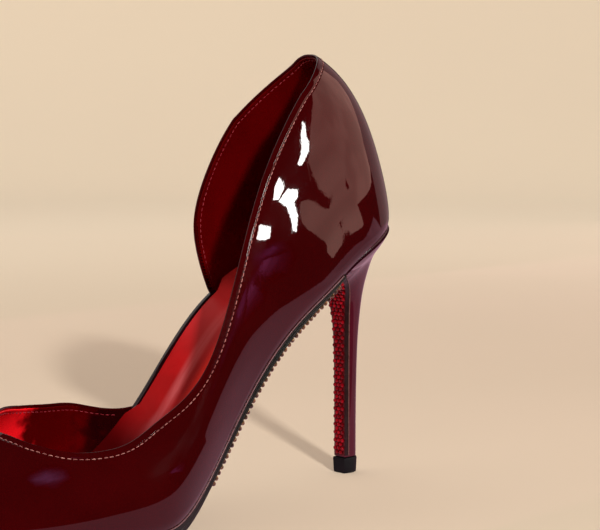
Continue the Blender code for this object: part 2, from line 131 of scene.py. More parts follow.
def unit(vectors: Array) -> Array:
    """Vectors scaled to length one, where they have a length."""
    length = np.linalg.norm(vectors, axis=-1, keepdims=True)
    return vectors / np.maximum(length, 1e-9)


def signed_power(value: Array, power: float) -> Array:
    """Values raised to a power with their signs kept, as in a rounded square."""
    return np.sign(value) * np.abs(value) ** power


def circle(steps: int) -> Array:
    """Angles of even steps round a circle."""
    return np.linspace(0.0, 2 * np.pi, steps, endpoint=False)


def run_along(line: Array) -> Array:
    """Distance of each point of a line from its start, measured along it."""
    return np.concatenate([[0.0], np.cumsum(np.linalg.norm(np.diff(line, axis=0), axis=1))])


def read_off(where: Array | float, run: Array, values: Array) -> Array:
    """Values between the points of a line, at distances measured along it."""
    return np.stack([np.interp(where, run, column) for column in values.T], axis=-1)


@dataclass
class Last:
    """Form of the foot that every piece is worked out on, in millimetres.

    Attributes:
        shift: Place of the last's own origin in the frame.
        toe_end: Section of the toe's end.
        heel_turn, toe_turn: Sections where heel and toe start to round off.
        turn_path: Distance round the foot of half the heel's back.
        throat, arch_end: Sections of the vamp's throat and of the inner arch's end.
        roundness: Power of the heel's rounded outline.
        toe_height_power: Power at which the ridge comes down at the toe.
        dome_power: Power of the wall's dome.
        swell_span: Share of the wall's height that its swell takes up.
        tuck, tuck_rise: How far the wall's foot is drawn in, and up to which rise.
        sole_crown: Depth of the crown under the sole.
        sections: Along, bottom, arch, outer and inner half width, ridge and swell of each section.
        leans: Along, and the wall's lean forward in degrees.
        swings: Along, and the place across of the centre line.
        back_seam: Rise, and the seam's reach forward of the heel's back edge.
        outer_topline: Place and rise of the outer top edge, up to the throat.
        wing_topline: Place and rise of the inner wing's top edge, up to the throat.
        quarter_edge: Rise and place of the inner quarter's front edge.
        sole_depths: Along, and the outsole's thickness.
    """

    shift: Array
    toe_end: float = 243.0
    heel_turn: float = 30.0
    toe_turn: float = 226.0
    turn_path: float = 40.0
    throat: float = 189.0
    arch_end: float = 155.0
    roundness: float = 2.3
    toe_height_power: float = 0.6
    dome_power: float = 2.2
    swell_span: float = 0.95
    tuck: float = 1.0
    tuck_rise: float = 4.0
    sole_crown: float = 0.9
    sections: Rows = (
        (0.0, 104.5, 0.0, 22.0, 22.0, 95.0, 4.6),
        (15.0, 98.0, 0.0, 23.0, 23.0, 95.0, 4.6),
        (30.0, 91.0, 0.3, 23.8, 24.2, 95.0, 4.6),
        (50.0, 79.5, 2.2, 26.0, 25.4, 92.0, 4.0),
        (70.0, 67.4, 3.9, 27.0, 25.2, 86.0, 4.1),
        (90.0, 48.7, 4.5, 27.3, 24.2, 78.0, 5.0),
        (110.0, 25.5, 3.2, 30.2, 25.6, 70.0, 5.5),
        (125.0, 11.8, 1.7, 34.7, 30.2, 62.0, 4.4),
        (140.0, 4.6, 1.2, 39.0, 35.0, 55.0, 2.9),
        (155.0, 4.2, 0.0, 39.5, 38.0, 50.0, 2.2),
        (175.0, 4.4, 0.0, 36.0, 36.5, 41.5, 1.8),
        (200.0, 5.2, 0.0, 27.5, 28.5, 30.5, 1.4),
        (220.0, 6.4, 0.0, 18.5, 20.0, 22.0, 1.0),
        (243.0, 8.3, 0.0, 9.0, 10.0, 13.0, 0.6),
    )
    leans: Rows = ((0, 27), (40, 26), (80, 20), (120, 9), (160, 2), (243, 0))
    swings: Rows = ((0, 0.0), (120, 0.0), (243, 2.5))
    back_seam: Rows = (
        (0, 2.0), (6, -0.2), (14, -1.8), (24, -2.9), (38, -3.8), (54, -2.8), (66, 1.0), (78, 8.5),
    )
    outer_topline: Rows = (
        (0, 73.6), (12, 73.9), (26, 72.8), (39, 69.2), (63, 60.4), (87, 47.9), (106, 38.5),
        (119, 35.6), (136, 36.5), (150, 36.2), (166, 30.8), (178, 29.2), (188, 30.1), (195, 32.4),
    )
    wing_topline: Rows = (
        (116.5, 1.5), (120, 5.4), (128, 15.6), (136, 25.0), (146, 31.8), (157, 35.3), (168, 36.8),
        (182, 38.0), (193, 37.2),
    )
    quarter_edge: Rows = (
        (0, 76.8), (6, 76.4), (19, 74.7), (30, 71.0), (42, 61.0), (52, 48.6), (61, 33.0),
        (66, 21.0), (70, 11.0), (72.8, 3.5), (73.6, 0.0),
    )
    sole_depths: Rows = (
        (43, 1.6), (60, 2.4), (100, 2.5), (120, 2.9), (138, 4.2), (182, 4.5), (243, 3.2),
    )

    def __post_init__(self) -> None:
        """Turns the tables into curves."""
        columns = list(zip(*self.sections))
        names = ("bottom", "arch", "outer", "inner", "ridge", "swell")
        self.curve = {n: Curve(list(zip(columns[0], c))) for n, c in zip(names, columns[1:])}
        tables = (
            "leans", "swings", "back_seam", "outer_topline", "wing_topline", "quarter_edge",
            "sole_depths",
        )
        self.curve |= {name: Curve(getattr(self, name)) for name in tables}
        self.heel_back = self.back_seam[0][1]
        self.peak = self.outer_topline[0][1]
        self.throat_place = self.place_of(self.throat)

    def to_frame(self, points: Array) -> Array:
        """Points in metres of the frame, from millimetres of the last."""
        return (np.asarray(points, float) + self.shift) * MM

    def place_of(self, along: float) -> float:
        """Distance round the foot of a section along its side."""
        return self.turn_path + along - self.heel_turn

    def along_of(self, place: Array) -> Array:
        """Section that a place lies in: the heel's whole turn belongs to its first one."""
        return np.clip(self.heel_turn + place - self.turn_path, self.heel_turn, self.toe_end)

    def feather_height(self, side: Side, along: Array, arch_share: Array | float = 1.0) -> Array:
        """Height of the edge between upper and sole.

        Args:
            side: Side of the foot.
            along: Sections.
            arch_share: How much of the inner side's arch counts.

        Returns:
            Heights above the floor.
        """
        back_slope = (self.sections[1][1] - self.sections[0][1]) / self.sections[1][0]
        height = self.curve["bottom"](along) + np.minimum(along, 0.0) * back_slope
        if side is Side.INNER:
            arch = np.where(along < self.arch_end, self.curve["arch"](along), 0.0)
            height = height + arch * arch_share
        return height

    def nose(self, along: Array, outset: float = 0.0) -> Array:
        """Share of its straight taper that the toe keeps where it rounds off to its end."""
        reach = np.clip((along - self.toe_turn) / (self.toe_end + outset - self.toe_turn), 0.0, 1.0)
        return np.sqrt(1.0 - reach**2)

    def ridge_height(self, along: Array) -> Array:
        """Rise of the ridge line above the feather edge, rounded down at the toe."""
        return self.curve["ridge"](along) * self.nose(along) ** self.toe_height_power

    def wall_width(self, side: Side, along: Array, rise: Array | float) -> Array:
        """Half width of the upper's outside.

        Args:
            side: Side of the foot.
            along: Sections.
            rise: Rises above the feather edge.

        Returns:
            Half widths, down to nothing at the ridge.
        """
        share = np.clip(rise / np.maximum(self.ridge_height(along), TINY), 0.0, 1.0)
        straight = self.curve["outer" if side is Side.OUTER else "inner"](along)
        dome = straight * np.sqrt(1.0 - share**self.dome_power)
        bow = np.sin(np.pi * np.clip(share / self.swell_span, 0.0, 1.0))
        swell = self.curve["swell"](along) * bow
        tuck = self.tuck * np.clip(1.0 - rise / self.tuck_rise, 0.0, 1.0) ** 2
        return (dome + swell - tuck) * self.nose(along)

    def rise_at(self, place: Array, turn: Array) -> Array:
        """Rise of a wall point that is turned by an angle from the feather edge to the ridge."""
        ridge = self.ridge_height(self.along_of(place))
        return ridge * np.sin(np.clip(turn, 0.0, HALF_TURN)) ** (2 / self.dome_power)

    def turn_at(self, place: Array, rise: Array) -> Array:
        """Turn of a wall point from its rise."""
        ridge = np.maximum(self.ridge_height(self.along_of(place)), TINY)
        return np.arcsin(np.clip(rise / ridge, 0.0, 1.0) ** (self.dome_power / 2))

    def wall(self, side: Side, place: Array, rise: Array) -> Array:
        """Points on the upper's outside.

        Args:
            side: Side of the foot.
            place: Places round the foot.
            rise: Rises above the feather edge.

        Returns:
            Points in millimetres, with one more axis than the places.
        """
        along = self.along_of(place)
        angle = HALF_TURN * np.clip(place / self.turn_path, -1.0, 1.0)
        power = 2 / self.roundness
        turned = signed_power(np.sin(angle), power)
        depth = self.heel_turn - self.curve["back_seam"](rise)
        round_heel = self.heel_turn - depth * np.clip(np.cos(angle), 0.0, 1.0) ** power
        along = np.where(place < self.turn_path, round_heel, along)
        width = self.wall_width(side, along, rise)
        lean = np.radians(self.curve["leans"](along))
        height = self.feather_height(side, along, np.abs(turned)) + rise * np.cos(lean)
        across = self.curve["swings"](along) + side.value * turned * width
        return np.stack([-(along + rise * np.sin(lean)), across, height], axis=-1)

    def wall_normals(self, side: Side, place: Array, turn: Array) -> Array:
        """Directions out of the upper's outside, from small steps on the last.

        Args:
            side: Side of the foot.
            place: Places round the foot.
            turn: Turns up the wall.

        Returns:
            Unit vectors, with one more axis than the places.
        """
        step = 1e-3

        def point(places: Array, turns: Array) -> Array:
            """Wall points at places and turns."""
            return self.wall(side, places, self.rise_at(places, turns))

        forward = point(place + step, turn) - point(place - step, turn)
        high, low = np.minimum(turn + step, HALF_TURN), np.maximum(turn - step, 0.0)
        upward = point(place, high) - point(place, low)
        normals = side.value * np.cross(unit(forward), unit(upward))
        lost = np.linalg.norm(normals, axis=-1) < 1e-3
        normals[lost] = (-1.0, 0.0, 0.0)
        return unit(normals)

    def top_rise(self, side: Side, place: Array) -> Array:
        """Rise of the top edge: the topline behind the throat, the ridge in front of it.

        Args:
            side: Side of the foot.
            place: Places round the foot.

        Returns:
            Rises above the feather edge.
        """
        name = "outer_topline" if side is Side.OUTER else "wing_topline"
        last_place, last_rise = getattr(self, name)[-1]
        share = (place - last_place) / (self.throat_place - last_place)
        bridge = last_rise + (self.ridge_height(self.throat) - last_rise) * share
        behind = np.where(place <= last_place, self.curve[name](place), bridge)
        return np.where(place >= self.throat_place, self.ridge_height(self.along_of(place)), behind)

    def feather_width(self, side: Side, along: float, outset: float = 0.0) -> float:
        """Half width of the sole's outline, which rounds off at heel and toe.

        Args:
            side: Side of the foot.
            along: Section.
            outset: Distance that the outline is moved outwards.

        Returns:
            The half width.
        """
        if along >= self.toe_turn:
            straight = self.curve["outer" if side is Side.OUTER else "inner"](along) - self.tuck
            return float((straight + outset) * self.nose(along, outset))
        if along >= self.heel_turn:
            return float(self.wall_width(side, along, 0.0)) + outset
        back = min((self.heel_turn - along) / (self.heel_turn - self.heel_back + outset), 1.0)
        widest = float(self.wall_width(side, self.heel_turn, 0.0)) + outset
        return widest * (1.0 - back**self.roundness) ** (1 / self.roundness)

    def edges(
        self, along: float, outset: float = 0.0, inner_outset: float | None = None
    ) -> tuple[float, float]:
        """Across positions of the two feather edges, moved outwards.

        Args:
            along: Section.
            outset: Distance outwards.
            inner_outset: Distance outwards of the inner edge, if it differs.

        Returns:
            Outer and inner position.
        """
        least = 0.4
        middle = float(self.curve["swings"](along))
        inner_outset = outset if inner_outset is None else inner_outset
        outer = max(least, self.feather_width(Side.OUTER, along, outset))
        inner = max(least, self.feather_width(Side.INNER, along, inner_outset))
        return middle - outer, middle + inner

    def underside(self, along: float, across: Array) -> Array:
        """Height of the last's underside, straight across from the outer to the inner edge.

        Args:
            along: Section.
            across: Places across it.

        Returns:
            Heights above the floor.
        """
        outer, inner = self.edges(along)
        share = np.clip((across - outer) / (inner - outer), 0.0, 1.0)
        low = float(self.feather_height(Side.OUTER, along))
        return low + (float(self.feather_height(Side.INNER, along)) - low) * share

    def plumb(self, thickness: Array | float, along: float) -> Array | float:
        """Height that a thickness takes up where the last's underside slopes."""
        low, high = (float(self.curve["bottom"](along + step)) for step in (-0.5, 0.5))
        return thickness * math.hypot(1.0, high - low)

    def sole_top(self, along: float, across: Array) -> Array:
        """Top of the outsole, just under the insole and the upper's edge."""
        return self.underside(along, across) - self.plumb(GAP, along)

    def sole_bottom(self, along: float, across: Array) -> Array:
        """Underside of the outsole: crowned in the waist and flat on the floor under the ball.

        Args:
            along: Section.
            across: Places across it.

        Returns:
            Heights above the floor.
        """
        outer, inner = self.edges(along)
        off_centre = np.abs(across - (outer + inner) / 2) / ((inner - outer) / 2)
        crown = self.sole_crown * (1.0 - np.minimum(1.0, off_centre) ** 2)
        depth = self.plumb(float(self.curve["sole_depths"](along)) + crown, along)
        return np.maximum(0.0, self.sole_top(along, across) - depth)


class Skin:
    """Faces of one piece in millimetres, with a normal and a mark at every point."""

    def __init__(self) -> None:
        """Starts an empty skin."""
        self.points: list[Array] = []
        self.normals: list[Array] = []
        self.marks: list[Array] = []
        self.faces: list[list[int]] = []
        self.count = 0

    def add_points(self, points: Array, normals: Array | None, marks: Array | float) -> int:
        """Takes in points.

        Args:
            points: Points in any grid, three numbers each.
            normals: One normal for each point, or none for the faces' own.
            marks: One mark for each point, or one for all.

        Returns:
            Number of the first one.
        """
        first = self.count
        flat = np.asarray(points, float).reshape(-1, 3)
        self.points.append(flat)
        self.normals.append(np.zeros_like(flat) if normals is None else normals.reshape(-1, 3))
        self.marks.append(np.broadcast_to(marks, np.shape(points)[:-1]).reshape(-1))
        self.count += len(flat)
        return first

    def grid(
        self,
        points: Array,
        normals: Array | None = None,
        marks: Array | float = 0.0,
        flip: bool = False,
        closed: bool = False,
    ) -> None:
        """Adds quads between neighbouring points of one or more grids.

        Args:
            points: Grids of points: rows and columns, with a first axis more for several grids.
            normals: Normals in the same grids.
            marks: Marks in the same grids, or one for all.
            flip: Whether the faces look the other way.
            closed: Whether the last column joins the first.
        """
        first = self.add_points(points, normals, marks)
        index = np.arange(first, self.count).reshape((-1, *points.shape[-3:-1]))
        if closed:
            index = np.concatenate([index, index[:, :, :1]], axis=2)
        quads = [index[:, :-1, :-1], index[:, :-1, 1:], index[:, 1:, 1:], index[:, 1:, :-1]]
        quads = np.stack(quads[::-1] if flip else quads, axis=-1).reshape(-1, 4)
        self.faces += quads.tolist()

    def fan(self, ring: Array, flip: bool = False) -> None:
        """Closes a ring of points with triangles round its middle.

        Args:
            ring: Points of the ring.
            flip: Whether the faces look the other way.
        """
        first = self.add_points(np.vstack([ring, ring.mean(axis=0)]), None, 0.0)
        for i in range(len(ring)):
            corners = [first + i, first + (i + 1) % len(ring), first + len(ring)]
            self.faces.append(corners[::-1] if flip else corners)

    def loft(self, rings: Array, flip: bool = False) -> None:
        """Closed body through rings of points, with a fan at both ends.

        Args:
            rings: Rings of points.
            flip: Whether the faces look the other way.
        """
        self.grid(rings, flip=flip, closed=True)
        self.fan(rings[0], not flip)
        self.fan(rings[-1], flip)

    def tube(self, line: Array, out: Array, half: float, sides: int) -> None:
        """Closed round tube along a line.

        Args:
            line: Its middle line.
            out: Directions square to the line and to the across axis.
            half: Half its thickness.
            sides: Number of its sides.
        """
        angle = circle(sides)[:, None]
        rings = [c + half * (np.cos(angle) * o + np.sin(angle) * ACROSS) for c, o in zip(line, out)]
        self.loft(np.stack(rings), flip=True)

    def copies(self, points: Array, faces: list[list[int]], marks: Array) -> None:
        """Adds many small bodies of the same make.

        Args:
            points: Points of each body.
            faces: Corner numbers of one body.
            marks: One mark for each body.
        """
        first = self.add_points(points, None, marks[:, None])
        for start in range(first, self.count, points.shape[1]):
            self.faces += [[start + corner for corner in face] for face in faces]

    def mesh(self, name: str, last: Last, sharp: float) -> bpy.types.Mesh:
        """Makes the mesh, with points at the same spot shared.

        Args:
            name: Name of the mesh.
            last: Last that the skin was worked out on.
            sharp: Angle in degrees from which an edge is sharp.

        Returns:
            The mesh in metres of the frame.
        """
        parts = (self.points, self.normals, self.marks)
        points, normals, marks = (np.concatenate(part) for part in parts)
        _, first, shared = np.unique(
            np.round(points, 4), axis=0, return_index=True, return_inverse=True
        )
        shared = shared.reshape(-1)
        faces, corners = [], []
        for face in self.faces:
            kept = [c for i, c in enumerate(face) if shared[c] != shared[face[i - 1]]]
            if len({shared[c] for c in kept}) > 2:
                faces.append([int(shared[c]) for c in kept])
                corners += kept
        mesh = bpy.data.meshes.new(name)
        mesh.from_pydata(last.to_frame(points[first]).tolist(), [], faces)
        mesh.shade_smooth()
        mesh.set_sharp_from_angle(angle=math.radians(sharp))
        if np.any(normals):
            mesh.normals_split_custom_set(normals[corners].tolist())
        layer = mesh.attributes.new(MARK, "FLOAT", "POINT")
        layer.data.foreach_set("value", marks[first].astype(np.float32))
        return mesh


class Graph:
    """Node graph of one material, with short calls for the nodes that the finishes share."""

    def __init__(self, name: str, **sockets: Feed) -> None:
        """Starts a material.

        Args:
            name: Name of the material.
            **sockets: Values for the shader's own sockets, with underscores for spaces.
        """
        self.material = bpy.data.materials.new(name)
        self.material.use_nodes = True
        self.tree = self.material.node_tree
        self.shader = self.tree.nodes["Principled BSDF"]
        self.place = self.tree.nodes.new("ShaderNodeTexCoord").outputs["Object"]
        self.dress(**sockets)

    def dress(self, **sockets: Feed) -> None:
        """Sets or links the shader's own sockets by name."""
        for name, value in sockets.items():
            self.feed(self.shader.inputs[name.replace("_", " ")], value)

    def feed(self, socket: Socket, value: Feed) -> None:
        """Links a socket, or sets its value.

        Args:
            socket: Socket of a node.
            value: Output to link, or a value to set.
        """
        if isinstance(value, Socket):
            self.tree.links.new(value, socket)
        elif isinstance(value, tuple) and len(socket.default_value) == 4:
            socket.default_value = (*value, 1.0)
        else:
            socket.default_value = value

    def node(self, kind: str, *inputs: Feed | None, **settings: object) -> bpy.types.Node:
        """Makes a node.

        Args:
            kind: Blender's name of the node, without its first words.
            *inputs: Values for its inputs in order, with None to leave one alone.
            **settings: Attributes of the node.

        Returns:
            The node.
        """
        made = self.tree.nodes.new("ShaderNode" + kind)
        for name, value in settings.items():
            setattr(made, name, value)
        for socket, value in zip(made.inputs, inputs):
            if value is not None:
                self.feed(socket, value)
        return made

    def noise(
        self, scale: float, detail: float = 2.0, stretch: Colour = (1.0, 1.0, 1.0)
    ) -> Socket:
        """Noise over the piece from 0 to 1, with a scale in lumps to the metre."""
        spot = self.node("VectorMath", self.place, stretch, operation="MULTIPLY").outputs[0]
        return self.node("TexNoise", spot, None, scale, detail).outputs[0]

    def cells(self, scale: float) -> Socket:
        """Distance to the edges of small cells, as in leather grain."""
        made = self.node("TexVoronoi", self.place, None, scale, feature="DISTANCE_TO_EDGE")
        return made.outputs["Distance"]

    def mark(self) -> Socket:
        """The mark that the skin gave each point."""
        return self.node("Attribute", attribute_name=MARK).outputs["Fac"]

    def axis(self, name: str) -> Socket:
        """Place on one axis of the piece, in metres."""
        return self.node("SeparateXYZ", self.place).outputs[name]

    def sum(self, operation: str, first: Feed, second: Feed = 0.0) -> Socket:
        """Result of one arithmetic step."""
        return self.node("Math", first, second, operation=operation).outputs[0]

    def apart(self, value: Feed, middle: float) -> Socket:
        """How far a value is from a middle one."""
        return self.sum("ABSOLUTE", self.sum("SUBTRACT", value, middle))

    def spread(
        self, value: Feed, low: float, high: float, to_low: float = 0.0, to_high: float = 1.0
    ) -> Socket:
        """A value eased from one range into another and held there."""
        ends = (low, high, to_low, to_high)
        return self.node("MapRange", value, *ends, interpolation_type="SMOOTHSTEP").outputs[0]

    def mix(self, share: Feed, first: Feed, second: Feed) -> Socket:
        """Colour between two colours, by the share of the second one."""
        other_kinds = [None] * 5
        return self.node("Mix", share, *other_kinds, first, second, data_type="RGBA").outputs[2]

    def bump(
        self, height: Feed, depth: float, under: Socket | None = None
    ) -> Socket:
        """Normal of a relief.

        Args:
            height: Relief from 0 to 1.
            depth: Height of the relief in metres.
            under: Normal that it lies on.

        Returns:
            The normal.
        """
        made = self.node("Bump")
        self.feed(made.inputs["Height"], height)
        made.inputs["Distance"].default_value = depth
        if under is not None:
            self.feed(made.inputs["Normal"], under)
        return made.outputs[0]


@dataclass(frozen=True)
class Finish:
    """A finish of the shoe or the stage, which makes its own material.

    Attributes:
        name: Name of the material.
        colour: Main colour.
        shade: Colour that it drifts to.
    """

    name: str
    colour: Colour
    shade: Colour

    def drift(self, graph: Graph, scale: float) -> Socket:
        """Colour that drifts from the shade to the main colour over the piece."""
        share = graph.spread(graph.noise(scale, 3.0), *NOISE_CORE)
        return graph.mix(share, self.shade, self.colour)

    def material(self) -> Material:
        """Material of the finish: overridden by each kind."""
        raise NotImplementedError


@dataclass(frozen=True)
class Patent(Finish):
    """Patent leather: a deep colour under a clear, slightly wavy coat with light scuffs.

    Attributes:
        wave: Depth of the coat's waves in metres.
        seam: Distance of the stitch row from the top edge in millimetres.
        seam_depth: Depth in metres to which the stitches pull the leather down.
        gloss: Roughness under the coat, and where it is scuffed.
        haze: Roughness that hazy patches add.
    """

    wave: float = 0.00005
    seam: float = 2.3
    seam_depth: float = 0.00016
    gloss: tuple[float, float] = (0.1, 0.26)
    haze: float = 0.1

    def material(self) -> Material:
        """Builds the material.

        Returns:
            The material.
        """
        graph = Graph(self.name, Coat_Weight=1.0, Coat_Roughness=0.012, Specular_IOR_Level=0.008)
        scuffs = graph.spread(graph.noise(260.0, 4.0, (1.0, 1.0, 7.0)), 0.66, 0.74, *self.gloss)
        haze = graph.spread(graph.noise(45.0, 3.0), 0.5, 0.72, 0.0, self.haze)
        pull = graph.apart(graph.mark(), self.seam)
        normal = graph.bump(graph.noise(62.0, 1.0), self.wave)
        normal = graph.bump(graph.noise(1100.0, 1.0), 0.0000016, normal)
        scratches = graph.noise(240.0, 4.0, (2.2, 2.2, 0.12))
        normal = graph.bump(graph.spread(scratches, 0.62, 0.70), 0.000001, normal)
        normal = graph.bump(graph.spread(pull, 0.0, 0.7), self.seam_depth, normal)
        graph.dress(
            Base_Color=self.drift(graph, 30.0),
            Roughness=graph.sum("ADD", scuffs, haze),
            Normal=normal,
            Coat_Normal=normal,
        )
        return graph.material


@dataclass(frozen=True)
class Lining(Finish):
    """Smooth red lining leather with a fine grain, a soft red gloss, and painted light and shade.

    Attributes:
        sheen: Colour of the gloss.
        painted_light: Painted light: the much brighter colour of the lit lining in the vamp.
        vamp: Places along the shoe, in metres, between which the painted light comes in.
        painted_shade: Painted shade in the corner between the vamp and the waist.
        corner: Place along the shoe of that corner, in metres.
        reach: Distances from there between which the painted shade fades.
        rag: How far the edges of the painted light and painted shade are ragged.
        seam: Distance of the stitch row from the top edge in millimetres.
    """

    sheen: Colour = (1.0, 0.06, 0.08)
    painted_light: Colour = (0.95, 0.008, 0.015)
    vamp: tuple[float, float] = (-0.0235, -0.0335)
    painted_shade: Colour = (0.006, 0.0003, 0.0005)
    corner: float = 0.011
    reach: tuple[float, float] = (0.006, 0.021)
    rag: float = 0.004
    seam: float = 2.0

    def material(self) -> Material:
        """Builds the material.

        Returns:
            The material.
        """
        graph = Graph(self.name, Specular_Tint=self.sheen, Specular_IOR_Level=0.9)
        pull = graph.apart(graph.mark(), self.seam)
        normal = graph.bump(graph.cells(1500.0), 0.00002)
        normal = graph.bump(graph.noise(90.0, 2.0), 0.00012, normal)
        normal = graph.bump(graph.spread(pull, 0.0, 0.7), 0.00014, normal)
        # Noise makes the edges of the painted light and painted shade ragged.
        ragged = graph.spread(graph.noise(160.0, 3.0), *NOISE_RANGE, -self.rag, self.rag)
        forward = graph.sum("ADD", graph.axis("X"), ragged)
        # Painted shade in the corner between the vamp and the waist, on the inner side only.
        near = graph.spread(graph.apart(forward, self.corner), *self.reach, 0.95, 0.0)
        corner = graph.sum("MULTIPLY", near, graph.spread(graph.axis("Y"), 0.0, 0.010))
        plain = graph.mix(corner, self.drift(graph, 60.0), self.painted_shade)
        graph.dress(
            # Painted light: the lining turns much brighter in the vamp.
            Base_Color=graph.mix(graph.spread(forward, *self.vamp), plain, self.painted_light),
            Roughness=graph.spread(graph.noise(220.0, 3.0), *NOISE_RANGE, 0.24, 0.36),
            Normal=normal,
        )
        return graph.material


@dataclass(frozen=True)
class Sock(Finish):
    """Satin red sock leather with a streak of wear and painted sheen, and painted light and shade.

    Attributes:
        wear_and_sheen: Colour of a pale streak down the middle, partly wear and partly painted
            sheen.
        track: Share across of that streak's middle.
        outer: Painted light: a brighter orange-red colour towards the outer side.
        sheen: Colour of the gloss.
        painted_shade: Painted shade inside the vamp.
        vamp: Places along the shoe, in metres, between which the painted shade comes in.
        painted_light_at_heel: Painted light that brightens it towards the heel of the foot.
        seat: Places along the shoe between which that painted light comes in.
    """

    wear_and_sheen: Colour = (0.44, 0.085, 0.095)
    outer: Colour = (0.92, 0.020, 0.008)
    track: float = 0.46
    sheen: Colour = (1.0, 0.10, 0.11)
    painted_shade: Colour = (0.050, 0.0006, 0.0011)
    vamp: tuple[float, float] = (0.021, 0.003)
    painted_light_at_heel: Colour = (0.95, 0.055, 0.065)
    seat: tuple[float, float] = (0.028, 0.060)

    def material(self) -> Material:
        """Builds the material.

        Returns:
            The material.
        """
        graph = Graph(self.name, Specular_Tint=self.sheen, Specular_IOR_Level=0.15)
        brushed = graph.noise(420.0, 3.0, (0.12, 1.0, 0.12))
        # A pale streak down the middle, partly wear and partly painted sheen.
        track = graph.spread(graph.apart(graph.mark(), self.track), 0.0, 0.17, 1.0, 0.0)
        share = graph.sum("MULTIPLY", track, graph.spread(brushed, *NOISE_RANGE, 0.35, 0.8))
        # Painted light: the colour turns a brighter orange-red towards the outer side.
        plain = graph.mix(graph.spread(graph.mark(), 0.3, 0.0), self.drift(graph, 70.0), self.outer)
        normal = graph.bump(graph.cells(1300.0), 0.000025)
        forward = graph.axis("X")
        colour = graph.mix(share, plain, self.wear_and_sheen)
        # Painted light that brightens the sock towards the heel of the foot.
        colour = graph.mix(graph.spread(forward, *self.seat, 0.0, 0.55), colour, self.painted_light_at_heel)
        # Painted shade that darkens the sock inside the vamp.
        graph.dress(
            Base_Color=graph.mix(graph.spread(forward, *self.vamp), colour, self.painted_shade),
            Roughness=graph.spread(brushed, *NOISE_RANGE, 0.3, 0.42),
            Normal=graph.bump(brushed, 0.00003, normal),
        )
        return graph.material


@dataclass(frozen=True)
class Waxed(Finish):
    """Waxed sole edge or rubber with fine scuffs.

    Attributes:
        gloss: Lowest and highest roughness.
        grain: Depth of its grain in metres.
        shine: Strength of its reflections.
    """

    gloss: tuple[float, float] = (0.3, 0.5)
    grain: float = 0.00003
    shine: float = 0.4

    def material(self) -> Material:
        """Builds the material.

        Returns:
            The material.
        """
        graph = Graph(self.name, Specular_IOR_Level=self.shine)
        scuffs = graph.spread(graph.noise(600.0, 4.0, (0.3, 1.0, 3.0)), 0.58, 0.72)
        normal = graph.bump(graph.noise(1500.0, 2.0), self.grain)
        graph.dress(
            Base_Color=graph.mix(scuffs, self.colour, self.shade),
            Roughness=graph.spread(graph.noise(300.0, 3.0), *NOISE_RANGE, *self.gloss),
            Normal=graph.bump(graph.noise(120.0, 2.0), 2 * self.grain, normal),
        )
        return graph.material


@dataclass(frozen=True)
class Stones(Finish):
    """Backed, cut stones, each of a slightly different tone.

    Attributes:
        metal: How much of the backing's metal shows.
        glaze: Weight of the clear glaze.
    """

    metal: float = 0.6
    glaze: float = 1.0

    def material(self) -> Material:
        """Builds the material.

        Returns:
            The material.
        """
        graph = Graph(self.name, Metallic=self.metal, Coat_Weight=self.glaze, Coat_Roughness=0.03)
        graph.dress(
            Base_Color=graph.mix(graph.mark(), self.shade, self.colour),
            Roughness=graph.spread(graph.noise(900.0, 2.0), *NOISE_RANGE, 0.1, 0.24),
        )
        return graph.material


@dataclass(frozen=True)
class Thread(Finish):
    """Waxed twisted sewing thread."""

    def material(self) -> Material:
        """Builds the material.

        Returns:
            The material.
        """
        graph = Graph(self.name, Coat_Weight=0.4, Coat_Roughness=0.15)
        twist = graph.noise(3500.0, 1.0)
        graph.dress(
            Base_Color=graph.mix(graph.mark(), self.shade, self.colour),
            Roughness=graph.spread(twist, *NOISE_RANGE, 0.28, 0.5),
            Normal=graph.bump(twist, 0.00004),
        )
        return graph.material


@dataclass(frozen=True)
class Paper(Finish):
    """Matte studio paper of the stage, which glows a little so that it is evenly lit.

    Attributes:
        light: Colour of the glow.
        glow: Strength of the glow by the shoe and far from it.
        reach: Distances from the shoe between which the glow rises, in metres.
    """

    light: Colour = (0.62, 0.54, 0.425)
    glow: tuple[float, float] = (0.22, 0.63)
    reach: tuple[float, float] = (0.3, 1.5)

    def material(self) -> Material:
        """Builds the material.

        Returns:
            The material.
        """
        graph = Graph(self.name, Roughness=0.8, Emission_Color=self.light)
        away = graph.node("VectorMath", graph.place, operation="LENGTH").outputs["Value"]
        graph.dress(
            Base_Color=self.drift(graph, 1.3),
            Emission_Strength=graph.spread(away, *self.reach, *self.glow),
            Normal=graph.bump(graph.noise(900.0, 2.0), 0.00002),
        )
        return graph.material


WINE = Patent("wine_patent", (0.030, 0.0003, 0.0006), (0.025, 0.0002, 0.0004))
HEEL_WINE = Patent("heel_patent", (0.050, 0.0035, 0.0100), (0.042, 0.003, 0.008), wave=0.00004)
BINDING = Patent("binding_patent", (0.012, 0.0012, 0.002), (0.007, 0.0006, 0.001), wave=0.00004)
RED_LINING = Lining("red_lining", (0.070, 0.0003, 0.0006), (0.056, 0.0002, 0.0004))
RED_SOCK = Sock("red_sock", (0.34, 0.0025, 0.004), (0.27, 0.002, 0.003))
BLACK_SOLE = Waxed("black_sole", (0.005, 0.006, 0.005), (0.013, 0.014, 0.012))
SEAT_EDGE = Waxed("seat_edge", (0.012, 0.002, 0.004), (0.04, 0.015, 0.018), (0.16, 0.3))
TIP_RUBBER = Waxed(
    "tip_rubber", (0.003, 0.004, 0.0045), (0.008, 0.009, 0.010), (0.35, 0.55),
    grain=0.00004, shine=0.2,
)
BREAST_BED = Waxed("breast_bed", (0.07, 0.001, 0.003), (0.10, 0.002, 0.005))
# Dark colour of the bed's wraps round the breast's corners: painted shade of the recess.
BREAST_RECESS = Waxed("breast_recess", (0.010, 0.002, 0.002), (0.03, 0.008, 0.008))
